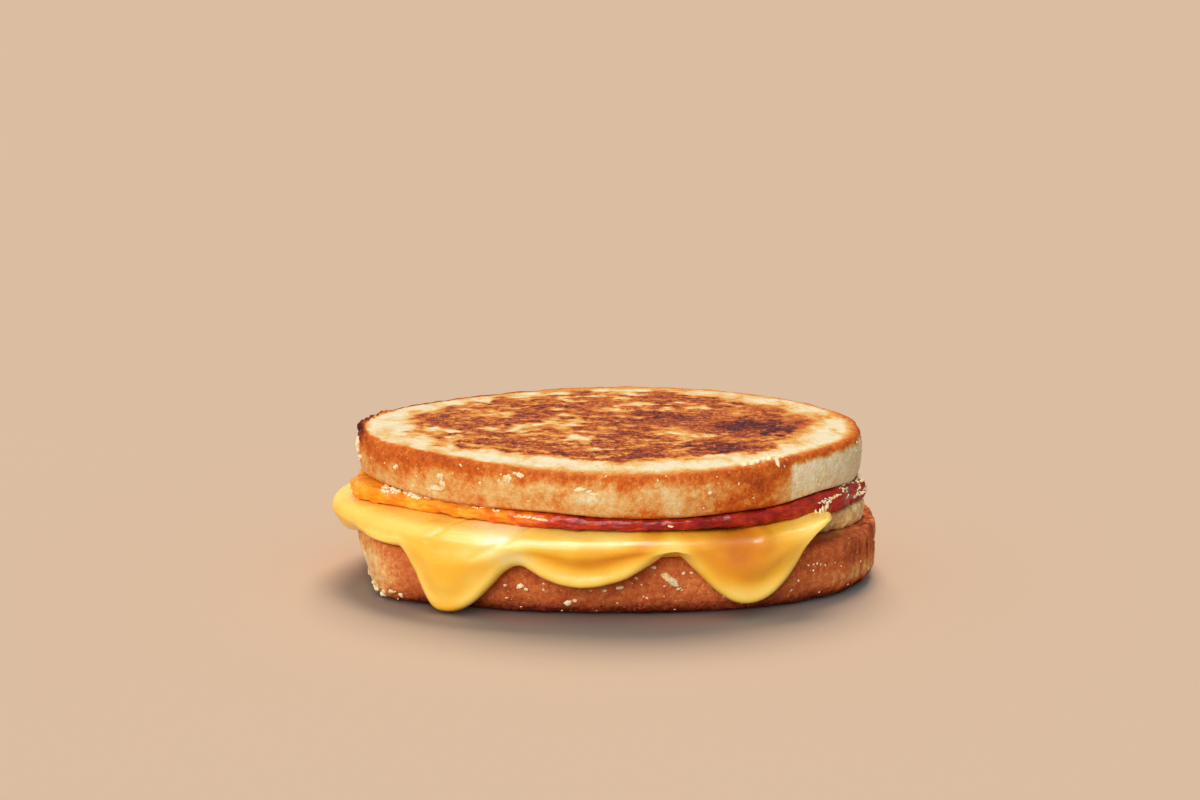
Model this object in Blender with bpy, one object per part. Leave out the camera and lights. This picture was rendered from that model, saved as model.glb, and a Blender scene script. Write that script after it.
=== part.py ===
"""Grilled cheese sandwich: two toasted slices of country loaf round a thick pale middle
layer, melted cheese that runs over the edge in three drips, and a thin tomato layer.

Metres, +Z up. The sandwich lies on Z = 0, its long side along X, its richest drips at -Y.
Every piece is a stack of closed rings with the same stations, so neighbours stay parallel.
"""
import math

import bpy
import bmesh
from mathutils import Vector

MM = 0.001
TURN = 2.0 * math.pi

# Driving sizes.
STATIONS = 96                      # points round every ring
FRONT_CROWDING = 0.38              # stations crowd together along the front, where the drips are
GAP = 0.3 * MM                     # air between neighbouring pieces
BOTTOM_THICK = 17.5 * MM
MIDDLE_THICK = 6.2 * MM
CHEESE_TOP = 26.3 * MM             # height of the melted sheet's flat top
TOP_UNDERSIDE = 30.0 * MM
TOTAL_HEIGHT = 45.0 * MM
RING_SHARE = 0.55                  # the ring between a rim and the centre

# The heights that follow.
MIDDLE_BASE = BOTTOM_THICK + GAP
MIDDLE_TOP = MIDDLE_BASE + MIDDLE_THICK
TOMATO_BASE = MIDDLE_TOP + GAP


def steps_from(angle, centre, width_before, width_after):
    """How far an angle lies from a centre in degrees, 1 at the width given for that side."""
    step = (math.degrees(angle) - centre + 180.0) % 360.0 - 180.0
    width = width_before if step < 0.0 else width_after
    return min(1.0, abs(step) / width)


def bump(angle, centre, width_before, width_after):
    """A smooth hill, 1 at its centre and 0 past its width on each side."""
    return math.cos(0.5 * math.pi * steps_from(angle, centre, width_before, width_after)) ** 2


def drip_shape(angle, centre, width_before, width_after):
    """A fuller hill than bump, with a blunt round top, as a hanging drip has."""
    return (1.0 - steps_from(angle, centre, width_before, width_after) ** 2.2) ** 1.7


def mix(low, high, share):
    return low + (high - low) * share


class Plan:
    """The oval outline of a piece, seen from above."""

    def __init__(self, centre, semi, power, waves=()):
        self.centre = Vector(centre)
        self.semi_x, self.semi_y = semi
        self.power = power
        self.waves = waves         # (amplitude, count, angle of a crest in degrees)

    def point(self, angle, out=0.0):
        """The outline's point at a station, moved outwards along the outline's normal."""
        cos, sin = math.cos(angle), math.sin(angle)
        flat_x = math.copysign(abs(cos) ** (2.0 / self.power), cos)
        flat_y = math.copysign(abs(sin) ** (2.0 / self.power), sin)
        normal = Vector((
            math.copysign(abs(flat_x) ** (self.power - 1.0), cos) / self.semi_x,
            math.copysign(abs(flat_y) ** (self.power - 1.0), sin) / self.semi_y,
        )).normalized()
        for amplitude, count, crest in self.waves:
            out += amplitude * math.cos(count * (angle - math.radians(crest)))
        return self.centre + Vector((flat_x * self.semi_x, flat_y * self.semi_y)) + normal * out


BOTTOM_PLAN = Plan((2.4 * MM, 3.5 * MM), (78.3 * MM, 46.8 * MM), 2.3)
CHEESE_PLAN = Plan((1.5 * MM, 2.0 * MM), (81.0 * MM, 53.0 * MM), 2.15)
TOP_PLAN = Plan(
    (2.4 * MM, 4.4 * MM), (73.8 * MM, 49.3 * MM), 2.0,
    waves=((1.0 * MM, 4, 0.0), (1.4 * MM, 3, 58.0)),
)

# Melted cheese: drips as (angle, height of the tip, width before, width after), in degrees.
DRIPS = (
    (-126.0, 0.6 * MM, 15.0, 19.0),
    (-94.0, 10.4 * MM, 18.0, 16.5),
    (-62.0, 4.2 * MM, 17.5, 20.5),
    (52.0, 12.0 * MM, 15.0, 18.0),
    (104.0, 8.5 * MM, 17.0, 20.0),
    (146.0, 13.5 * MM, 14.0, 14.0),
)
ARC_HEM = 18.6 * MM                # height of the cheese's hem between the drips
LOBE_HEM = 15.8 * MM               # the fat lobe at the left end hangs to here
RETRACTED_HEM = 22.0 * MM
RETRACT = 14.0 * MM                # how far the cheese stops short at the right end
LIP_DROP = 4.4 * MM                # the lip bulges most this far below the flat top
FREE_EDGE_DROP = 2.0 * MM          # the same where the cheese ends on the middle layer
HEM_LEAN = 3.3 * MM                # the hem hangs this far behind the lip
DRIP_FORWARD = 2.0 * MM            # a drip stands this far forward of the hem beside it
BEAD = 0.7 * MM                    # the rolled bead along the hem


def station_angles():
    for index in range(STATIONS):
        even = TURN * index / STATIONS
        yield even - FRONT_CROWDING * math.cos(even)


def retract(angle):
    """0 where the cheese drapes over the side, 1 round the right end, where it stops short."""
    return min(1.0, 1.7 * bump(angle, 0.0, 44.0, 50.0))


def lobe(angle):
    """The fat lobe of cheese that hangs over the left end."""
    return bump(angle, 184.0, 26.0, 26.0)


def hem_height(angle):
    """Height of the cheese's lower edge."""
    height = ARC_HEM - (ARC_HEM - LOBE_HEM) * lobe(angle)
    height += 2.4 * MM * bump(angle, -78.5, 18.0, 18.0)
    for centre, tip, before, after in DRIPS:
        height -= (ARC_HEM - tip) * drip_shape(angle, centre, before, after)
    return mix(height, RETRACTED_HEM, retract(angle))


def drip_share(angle):
    """1 along the middle of a drip and 0 between them."""
    return max(drip_shape(angle, centre, before, after) for centre, _, before, after in DRIPS)


def edge_share(x, y):
    """0 at the middle of the sandwich and 1 near its rim."""
    across = (x - TOP_PLAN.centre.x) / TOP_PLAN.semi_x
    along = (y - TOP_PLAN.centre.y) / TOP_PLAN.semi_y
    return min(1.0, math.hypot(across, along)) ** 2


def top_underside(x, y):
    """The top slice's underside, which rides up over the lumps of the filling."""
    angle = math.atan2(y - TOP_PLAN.centre.y, x - TOP_PLAN.centre.x)
    wave = 1.3 * MM * bump(angle, 190.0, 50.0, 30.0)
    wave += 0.6 * MM * bump(angle, -115.0, 25.0, 22.0)
    wave -= 0.5 * MM * bump(angle, -75.0, 30.0, 30.0)
    wave += 1.4 * MM * bump(angle, -24.0, 17.0, 17.0)
    wave -= 0.7 * MM * bump(angle, 0.0, 14.0, 30.0)
    wave += 0.8 * MM * bump(angle, 75.0, 35.0, 40.0)
    return TOP_UNDERSIDE + wave * edge_share(x, y)


def cheese_sag(angle):
    """The sheet sinks under the thickest stretch of tomato, at the right of the front."""
    return 1.3 * MM * bump(angle, -50.0, 24.0, 20.0)


def ring(plan, height, out=0.0, share=1.0):
    """One closed ring of points. height and out are lengths, or functions of the point."""
    points = []
    for angle in station_angles():
        place = plan.point(angle, out(angle) if callable(out) else out)
        place = plan.centre + (place - plan.centre) * share
        level = height(angle, place) if callable(height) else height
        points.append(Vector((place.x, place.y, level)))
    return points


def loft(name, rings, low_centre, high_centre):
    """A closed solid through the rings, from its lower centre up to its upper centre."""
    mesh = bmesh.new()
    loops = [[mesh.verts.new(point) for point in points] for points in rings]
    for lower, upper in zip(loops, loops[1:]):
        for index in range(STATIONS):
            after = (index + 1) % STATIONS
            mesh.faces.new((lower[index], lower[after], upper[after], upper[index]))
    low = mesh.verts.new(low_centre)
    high = mesh.verts.new(high_centre)
    for index in range(STATIONS):
        after = (index + 1) % STATIONS
        mesh.faces.new((loops[0][after], loops[0][index], low))
        mesh.faces.new((loops[-1][index], loops[-1][after], high))
    bmesh.ops.recalc_face_normals(mesh, faces=mesh.faces)
    data = bpy.data.meshes.new(name)
    mesh.to_mesh(data)
    mesh.free()
    data.shade_smooth()
    data.set_sharp_from_angle(angle=math.radians(50.0))
    piece = bpy.data.objects.new(name, data)
    bpy.context.scene.collection.objects.link(piece)
    return piece


def centre_of(plan, height):
    return Vector((plan.centre.x, plan.centre.y, height))


def bottom_slice(name, grow=0.0):
    """The lower slice: flat underneath, rounded lower edge, blunt heel at the left front."""
    def lean(level):
        foot = 1.0 - level / BOTTOM_THICK

        def out(angle):
            heel = 3.4 * MM * bump(angle, 217.0, 17.0, 20.0)
            return grow + heel - 5.0 * MM * foot * bump(angle, 186.0, 34.0, 26.0)

        return out

    def inset(amount, level):
        side = lean(level)
        return ring(BOTTOM_PLAN, level, lambda angle: side(angle) - amount)

    top = BOTTOM_THICK + grow
    rings = [
        ring(BOTTOM_PLAN, -grow, share=RING_SHARE),
        inset(5.0 * MM, -grow),
        inset(2.3 * MM, 1.0 * MM),
        inset(0.7 * MM, 3.4 * MM),
        inset(0.0, 7.5 * MM),
        inset(0.1 * MM, 13.5 * MM),
        inset(0.4 * MM, 16.6 * MM + grow),
        inset(1.3 * MM, top),
        ring(BOTTOM_PLAN, top, share=RING_SHARE),
    ]
    return loft(name, rings, centre_of(BOTTOM_PLAN, -grow), centre_of(BOTTOM_PLAN, top))


def middle_layer(name, grow=0.0):
    """The thick pale layer between the bottom slice and the melted sheet."""
    def out(amount):
        return lambda angle: grow - amount - 9.0 * MM + 5.6 * MM * bump(angle, 0.0, 50.0, 50.0)

    low, high = MIDDLE_BASE - grow, MIDDLE_TOP + grow
    rings = [
        ring(BOTTOM_PLAN, low, share=RING_SHARE),
        ring(BOTTOM_PLAN, low, out(1.0 * MM)),
        ring(BOTTOM_PLAN, low + 1.4 * MM, out(0.0)),
        ring(BOTTOM_PLAN, high - 1.4 * MM, out(0.2 * MM)),
        ring(BOTTOM_PLAN, high, out(1.4 * MM)),
        ring(BOTTOM_PLAN, high, share=RING_SHARE),
    ]
    return loft(name, rings, centre_of(BOTTOM_PLAN, low), centre_of(BOTTOM_PLAN, high))


def melted_cheese(name, grow=0.0):
    """The melted sheet with its lip, hem and drips, before its neighbours are cut from it."""
    def reach(angle):
        return grow + 2.6 * MM * lobe(angle) - RETRACT * retract(angle)

    def edge(behind, behind_free):
        return lambda angle: reach(angle) - mix(behind, behind_free, retract(angle))

    def below_top(drop, drop_free):
        return lambda angle, _: (
            CHEESE_TOP + grow - cheese_sag(angle) - mix(drop, drop_free, retract(angle))
        )

    def lip_level(angle):
        return below_top(LIP_DROP, FREE_EDGE_DROP)(angle, None)

    def hem_out(angle):
        lean = HEM_LEAN - DRIP_FORWARD * drip_share(angle)
        return reach(angle) - mix(lean, 0.0, retract(angle))

    def drape(share, bead):
        """A ring down the draped outside, from the lip (0) to the hem (1)."""
        def out(angle):
            eased = share * share * (3.0 - 2.0 * share)
            return mix(reach(angle), hem_out(angle), eased) + bead * (1.0 - retract(angle))

        def level(angle, _):
            return mix(lip_level(angle), hem_height(angle), share)

        return ring(CHEESE_PLAN, level, out)

    def inner(behind, behind_free, low, low_free):
        """A ring of the hidden inside, under the top of the slice that it is cut by."""
        def level(angle, _):
            draped = min(hem_height(angle) + 0.8 * MM, low)
            return mix(draped, low_free, retract(angle))

        return ring(CHEESE_PLAN, level, edge(behind, behind_free))

    underside = MIDDLE_BASE + 1.7 * MM
    flat_top = CHEESE_TOP + grow
    rings = [
        ring(CHEESE_PLAN, underside, share=RING_SHARE),
        ring(CHEESE_PLAN, MIDDLE_BASE + 0.8 * MM, edge(19.0 * MM, 9.0 * MM)),
        inner(11.5 * MM, 4.5 * MM, BOTTOM_THICK - 1.2 * MM, 21.4 * MM),
        ring(
            CHEESE_PLAN,
            lambda angle, _: hem_height(angle) + 0.4 * MM * (1.0 - retract(angle)),
            lambda angle: hem_out(angle) - 3.4 * MM,
        ),
        ring(
            CHEESE_PLAN,
            lambda angle, _: hem_height(angle),
            lambda angle: hem_out(angle) - 1.5 * MM * (1.0 - retract(angle)),
        ),
        drape(0.9, 0.8 * BEAD),
        drape(0.72, BEAD),
        drape(0.36, -0.2 * BEAD),
        ring(CHEESE_PLAN, lambda angle, _: lip_level(angle), reach),
        ring(CHEESE_PLAN, below_top(2.5 * MM, 0.9 * MM), edge(0.8 * MM, 0.3 * MM)),
        ring(CHEESE_PLAN, below_top(1.1 * MM, 0.2 * MM), edge(3.0 * MM, 1.2 * MM)),
        ring(CHEESE_PLAN, below_top(0.3 * MM, 0.0), edge(7.0 * MM, 3.5 * MM)),
        ring(CHEESE_PLAN, flat_top, edge(15.0 * MM, 9.0 * MM)),
        ring(CHEESE_PLAN, flat_top, share=RING_SHARE),
    ]
    return loft(name, rings, centre_of(CHEESE_PLAN, underside), centre_of(CHEESE_PLAN, flat_top))


def tomato_layer(name):
    """The thin orange-red layer; a chunk of it stands out at the left, lumps at the right."""
    def out(amount):
        def reach(angle):
            chunk = 4.2 * MM * bump(angle, 196.0, 14.0, 20.0)
            lumps = 1.8 * MM * bump(angle, -8.0, 10.0, 8.0) + 1.2 * MM * bump(angle, -26.0, 8.0, 8.0)
            return chunk + lumps + 0.6 * MM - amount
        return reach

    def roof(drop):
        return lambda _, place: top_underside(place.x, place.y) - GAP - drop

    def halfway(_, place):
        return mix(CHEESE_TOP, top_underside(place.x, place.y), 0.5)

    rings = [
        ring(TOP_PLAN, TOMATO_BASE, share=RING_SHARE),
        ring(TOP_PLAN, TOMATO_BASE, out(3.0 * MM)),
        ring(TOP_PLAN, TOMATO_BASE + 1.0 * MM, out(0.8 * MM)),
        ring(TOP_PLAN, halfway, out(0.0)),
        ring(TOP_PLAN, roof(0.5 * MM), out(0.9 * MM)),
        ring(TOP_PLAN, roof(0.0), out(3.0 * MM)),
        ring(TOP_PLAN, roof(0.0), share=RING_SHARE),
    ]
    low = centre_of(TOP_PLAN, TOMATO_BASE)
    high = centre_of(TOP_PLAN, TOP_UNDERSIDE - GAP)
    return loft(name, rings, low, high)


def top_slice(name):
    """The upper slice: pressed flat in the middle, its face falls off towards the crust."""
    def rise(amount, out):
        return ring(
            TOP_PLAN, lambda _, place: top_underside(place.x, place.y) + amount, out
        )

    rings = [
        rise(0.0, -RING_SHARE * 40.0 * MM),
        rise(0.0, -2.6 * MM),
        rise(0.8 * MM, -0.8 * MM),
        rise(3.0 * MM, 0.1 * MM),
        ring(TOP_PLAN, 37.5 * MM, 0.7 * MM),
        ring(TOP_PLAN, 41.5 * MM, 0.5 * MM),
        ring(TOP_PLAN, 43.6 * MM, -0.2 * MM),
        ring(TOP_PLAN, 44.4 * MM, -1.5 * MM),
        ring(TOP_PLAN, 44.7 * MM, -5.0 * MM),
        ring(TOP_PLAN, TOTAL_HEIGHT, -11.0 * MM),
    ]
    low = centre_of(TOP_PLAN, TOP_UNDERSIDE)
    high = centre_of(TOP_PLAN, TOTAL_HEIGHT)
    return loft(name, rings, low, high)


def cut(piece, cutter):
    """Take a slightly grown neighbour out of a piece, which leaves the gap between them."""
    cutter.hide_render = True
    cutter.display_type = "WIRE"
    difference = piece.modifiers.new("clear_" + cutter.name, "BOOLEAN")
    difference.operation = "DIFFERENCE"
    difference.solver = "EXACT"
    difference.object = cutter


def finish(piece, colour, roughness):
    material = bpy.data.materials.new(piece.name + "_finish")
    material.use_nodes = True
    shader = material.node_tree.nodes["Principled BSDF"]
    shader.inputs["Base Color"].default_value = (*colour, 1.0)
    shader.inputs["Roughness"].default_value = roughness
    shader.inputs["Metallic"].default_value = 0.0
    piece.data.materials.append(material)


def centre_on_origin(pieces):
    """Stand the sandwich with the middle of its joint box over the origin."""
    points = [vertex.co for piece in pieces for vertex in piece.data.vertices]
    middle_x = 0.5 * (min(p.x for p in points) + max(p.x for p in points))
    middle_y = 0.5 * (min(p.y for p in points) + max(p.y for p in points))
    stand = bpy.data.objects.new("stand", None)
    stand.location = (-middle_x, -middle_y, 0.0)
    bpy.context.scene.collection.objects.link(stand)
    return stand


def main():
    for old in list(bpy.data.objects):
        bpy.data.objects.remove(old)

    bottom = bottom_slice("bottom_slice")
    middle = middle_layer("middle_layer")
    cheese = melted_cheese("melted_cheese")
    tomato = tomato_layer("tomato_layer")
    top = top_slice("top_slice")
    pieces = (bottom, middle, cheese, tomato, top)

    bottom_room = bottom_slice("bottom_room", grow=GAP)
    middle_room = middle_layer("middle_room", grow=GAP)
    cheese_room = melted_cheese("cheese_room", grow=GAP)
    cut(cheese, bottom_room)
    cut(cheese, middle_room)
    cut(tomato, cheese_room)

    finish(bottom, (0.39, 0.09, 0.028), 0.78)
    finish(middle, (0.62, 0.36, 0.16), 0.7)
    finish(cheese, (0.91, 0.52, 0.08), 0.28)
    finish(tomato, (0.55, 0.10, 0.015), 0.35)
    finish(top, (0.72, 0.36, 0.13), 0.75)

    stand = centre_on_origin(pieces)
    for piece in (*pieces, bottom_room, middle_room, cheese_room):
        piece.parent = stand


main()
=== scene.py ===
"""Looks of a grilled cheese sandwich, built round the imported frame.

Two toasted slices of country loaf, a pale middle layer, melted cheese that runs over the
front in three drips, and a moist tomato layer. Every turned body starts as a half-section
that is spun round Z and then pressed into an oval plan. Metres, +Z up, long side along X.
"""
import logging
import math
import random
from collections.abc import Sequence
from dataclasses import dataclass, field
from enum import Enum

import bmesh
import bpy
import numpy as np
from mathutils import Matrix, Vector, noise


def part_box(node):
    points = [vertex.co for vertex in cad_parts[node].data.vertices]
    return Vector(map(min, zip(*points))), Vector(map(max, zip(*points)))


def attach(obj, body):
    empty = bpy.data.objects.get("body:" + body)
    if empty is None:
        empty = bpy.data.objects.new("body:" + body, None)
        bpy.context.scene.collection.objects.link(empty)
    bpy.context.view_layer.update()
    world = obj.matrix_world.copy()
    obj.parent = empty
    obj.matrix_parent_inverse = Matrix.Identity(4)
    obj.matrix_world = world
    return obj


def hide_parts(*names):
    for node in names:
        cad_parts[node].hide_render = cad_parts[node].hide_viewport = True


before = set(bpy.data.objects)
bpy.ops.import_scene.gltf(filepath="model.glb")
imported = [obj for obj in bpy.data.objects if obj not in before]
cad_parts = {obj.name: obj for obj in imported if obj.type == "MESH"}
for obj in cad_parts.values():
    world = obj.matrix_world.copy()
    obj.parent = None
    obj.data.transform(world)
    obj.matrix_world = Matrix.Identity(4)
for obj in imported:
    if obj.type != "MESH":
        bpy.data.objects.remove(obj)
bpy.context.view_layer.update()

log = logging.getLogger("sandwich")

MM = 0.001
BODY = "root"
TURNS = 90                   # steps of a spin
FINER = 8                    # stations for each step of a spin
STEPS = TURNS * FINER        # stations round every turned body
FRONT_CROWDING = 0.38        # stations crowd together along the front, where the drips are
NOMINAL_RADIUS = 50.0        # millimetres from a plan's rim to its middle, in ring units
OFFSET_DEPTH = 6.0           # nearer the middle than this, rings shrink evenly


class Slot(str, Enum):
    """The record's material slots."""

    BOTTOM = "toasted_bread_bottom"
    MIDDLE = "pale_filling"
    CHEESE = "melted_cheese"
    TOMATO = "tomato_filling"
    TOP = "toasted_bread_top"


# ---------------------------------------------------------------- numbers along a ring


def crowd(even: np.ndarray) -> np.ndarray:
    """Turn evenly spaced angles into stations that crowd together at the front.

    Args:
        even: Evenly spaced angles in radians.

    Returns:
        The stations' plan angles in radians.
    """
    return even - FRONT_CROWDING * np.cos(even)


EVEN = np.arange(STEPS) * (2.0 * math.pi / STEPS)
ANGLES = crowd(EVEN)
DEGREES = np.degrees(ANGLES + math.pi) % 360.0 - 180.0


def steps_from(centre: float, before: float, after: float, at: np.ndarray = DEGREES) -> np.ndarray:
    """How far each station lies from a centre, as a share of the width on that side.

    Args:
        centre: The centre's angle in degrees.
        before: The width on the side of smaller angles, in degrees.
        after: The width on the side of larger angles, in degrees.
        at: The angles to measure, in degrees.

    Returns:
        0 at the centre, rising to 1 at the width and staying there.
    """
    step = (at - centre + 180.0) % 360.0 - 180.0
    return np.minimum(1.0, np.abs(step) / np.where(step < 0.0, before, after))


def hill(centre: float, before: float, after: float, at: np.ndarray = DEGREES) -> np.ndarray:
    """A smooth hill round a ring: 1 at its centre, 0 past its widths."""
    return np.cos(0.5 * math.pi * steps_from(centre, before, after, at)) ** 2


def drip_shape(centre: float, before: float, after: float) -> np.ndarray:
    """A fuller hill with a blunt round top, as a hanging drip has."""
    return (1.0 - steps_from(centre, before, after) ** 2.2) ** 1.7


def blend(low, high, share):
    """Mix two numbers or arrays."""
    return low + (high - low) * share


def rise(low: float, high: float, value):
    """A smooth step from 0 at low to 1 at high."""
    share = np.clip((value - low) / (high - low), 0.0, 1.0)
    return share * share * (3.0 - 2.0 * share)


def spline_weights(knots: np.ndarray, counts: Sequence[int]) -> np.ndarray:
    """Weights that turn control rings into finely sampled rings on one smooth curve.

    Args:
        knots: Where each control stands along the curve.
        counts: How many samples each stretch between two controls gets.

    Returns:
        A matrix with one row for each sample and one column for each control.
    """
    controls = np.eye(len(knots))
    chords = np.diff(controls, axis=0) / np.diff(knots)[:, None]
    spans = np.diff(knots)
    slopes = [chords[0]]
    for before, after, span_before, span_after in zip(chords, chords[1:], spans, spans[1:]):
        slopes.append((after * span_before + before * span_after) / (span_before + span_after))
    slopes.append(chords[-1])
    rows = []
    for stretch, count in enumerate(counts):
        for index in range(count):
            u = index / count
            rows.append(
                (2 * u**3 - 3 * u**2 + 1) * controls[stretch]
                + (3 * u**2 - 2 * u**3) * controls[stretch + 1]
                + (u**3 - 2 * u**2 + u) * spans[stretch] * slopes[stretch]
                + (u**3 - u**2) * spans[stretch] * slopes[stretch + 1]
            )
    rows.append(controls[-1])
    return np.array(rows)


def noise_field(points: np.ndarray, size: float, octaves: int = 1, seed: float = 0.0) -> np.ndarray:
    """Smooth random values at points.

    Args:
        points: Points in metres, with X, Y and Z in the last axis.
        size: The size of the noise's features in metres.
        octaves: How many ever finer layers are added.
        seed: Moves the pattern, so that two fields differ.

    Returns:
        Values of about -1 to 1, one for each point.
    """
    flat = points.reshape(-1, 3) / size + seed
    values = np.empty(len(flat))
    for index, point in enumerate(flat.tolist()):
        if octaves == 1:
            values[index] = noise.noise(point)
        else:
            values[index] = noise.fractal(point, 1.0, 2.1, octaves)
    return values.reshape(points.shape[:-1])


# ---------------------------------------------------------------- plans and turned bodies


@dataclass(frozen=True)
class Oval:
    """The outline of a piece seen from above, in millimetres."""

    centre: tuple[float, float]
    semi: tuple[float, float]
    power: float
    waves: tuple[tuple[float, int, float], ...] = ()

    def rim(self, angles: np.ndarray = ANGLES) -> tuple[np.ndarray, np.ndarray]:
        """The outline's points and outward normals.

        Args:
            angles: Plan angles in radians.

        Returns:
            Two arrays with X and Y in the last axis.
        """
        cos, sin = np.cos(angles), np.sin(angles)
        flat = np.stack((
            np.sign(cos) * np.abs(cos) ** (2.0 / self.power),
            np.sign(sin) * np.abs(sin) ** (2.0 / self.power),
        ), axis=-1)
        semi = np.array(self.semi)
        normal = np.sign(flat) * np.abs(flat) ** (self.power - 1.0) / semi
        normal /= np.linalg.norm(normal, axis=-1, keepdims=True)
        wave = sum(
            (size * np.cos(count * (angles - math.radians(crest))) for size, count, crest in self.waves),
            start=np.zeros(len(angles)),
        )
        return np.array(self.centre) + flat * semi + normal * wave[:, None], normal

    def place(self, out) -> np.ndarray:
        """Points at a distance outside the rim, or inside it where the distance is negative.

        Args:
            out: One distance, or one for each station, in millimetres.

        Returns:
            An array with X and Y in the last axis, in millimetres.
        """
        rim, normal = self.rim()
        out = np.broadcast_to(np.asarray(out, float), (STEPS,))
        near = rim + normal * np.maximum(out, -OFFSET_DEPTH)[:, None]
        share = np.minimum(1.0, (NOMINAL_RADIUS + out) / (NOMINAL_RADIUS - OFFSET_DEPTH))
        middle = np.array(self.centre)
        return middle + (near - middle) * share[:, None]

    def share(self, x: np.ndarray, y: np.ndarray) -> np.ndarray:
        """0 at the oval's middle and about 1 at its rim."""
        return np.hypot((x - self.centre[0]) / self.semi[0], (y - self.centre[1]) / self.semi[1])

    def polar(self, x: np.ndarray, y: np.ndarray) -> np.ndarray:
        """The plan angle of points, in degrees."""
        return np.degrees(np.arctan2(y - self.centre[1], x - self.centre[0]))


@dataclass(frozen=True)
class Stack:
    """Heights and plans of the stacked layers, in millimetres, as the frame has them."""

    bottom: Oval = Oval((2.4, 3.5), (78.3, 46.8), 2.3)
    cheese: Oval = Oval((1.5, 2.0), (81.0, 53.0), 2.15)
    top: Oval = Oval((2.4, 4.4), (73.8, 49.3), 2.0, ((1.0, 4, 0.0), (1.4, 3, 58.0)))
    bottom_top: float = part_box("bottom_slice")[1].z / MM
    middle_base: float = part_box("middle_layer")[0].z / MM
    middle_top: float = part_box("middle_layer")[1].z / MM
    cheese_top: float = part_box("melted_cheese")[1].z / MM
    underside: float = 30.0
    height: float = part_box("top_slice")[1].z / MM

    def shift(self) -> np.ndarray:
        """Where the stack's own origin lies in the frame, in millimetres.

        Returns:
            X, Y and Z, found by laying the widest ring of the top slice over its CAD box.
        """
        widest = self.top.place(0.7)
        middle = 0.5 * (widest.min(axis=0) + widest.max(axis=0))
        low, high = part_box("top_slice")
        return np.array(((low.x + high.x) / 2 / MM - middle[0], (low.y + high.y) / 2 / MM - middle[1], 0.0))

    def top_underside(self, place: np.ndarray) -> np.ndarray:
        """Height of the top slice's underside, which rides up over the filling.

        Args:
            place: Points with X and Y in the last axis.

        Returns:
            Heights in millimetres.
        """
        at = self.top.polar(place[:, 0], place[:, 1])
        wave = (
            1.3 * hill(190.0, 50.0, 30.0, at)
            + 0.6 * hill(-115.0, 25.0, 22.0, at)
            - 0.5 * hill(-75.0, 30.0, 30.0, at)
            + 1.4 * hill(-24.0, 17.0, 17.0, at)
            - 0.7 * hill(0.0, 14.0, 30.0, at)
            + 0.8 * hill(75.0, 35.0, 40.0, at)
        )
        return self.underside + wave * np.minimum(1.0, self.top.share(place[:, 0], place[:, 1])) ** 2


STACK = Stack()
SHIFT = STACK.shift()


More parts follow.
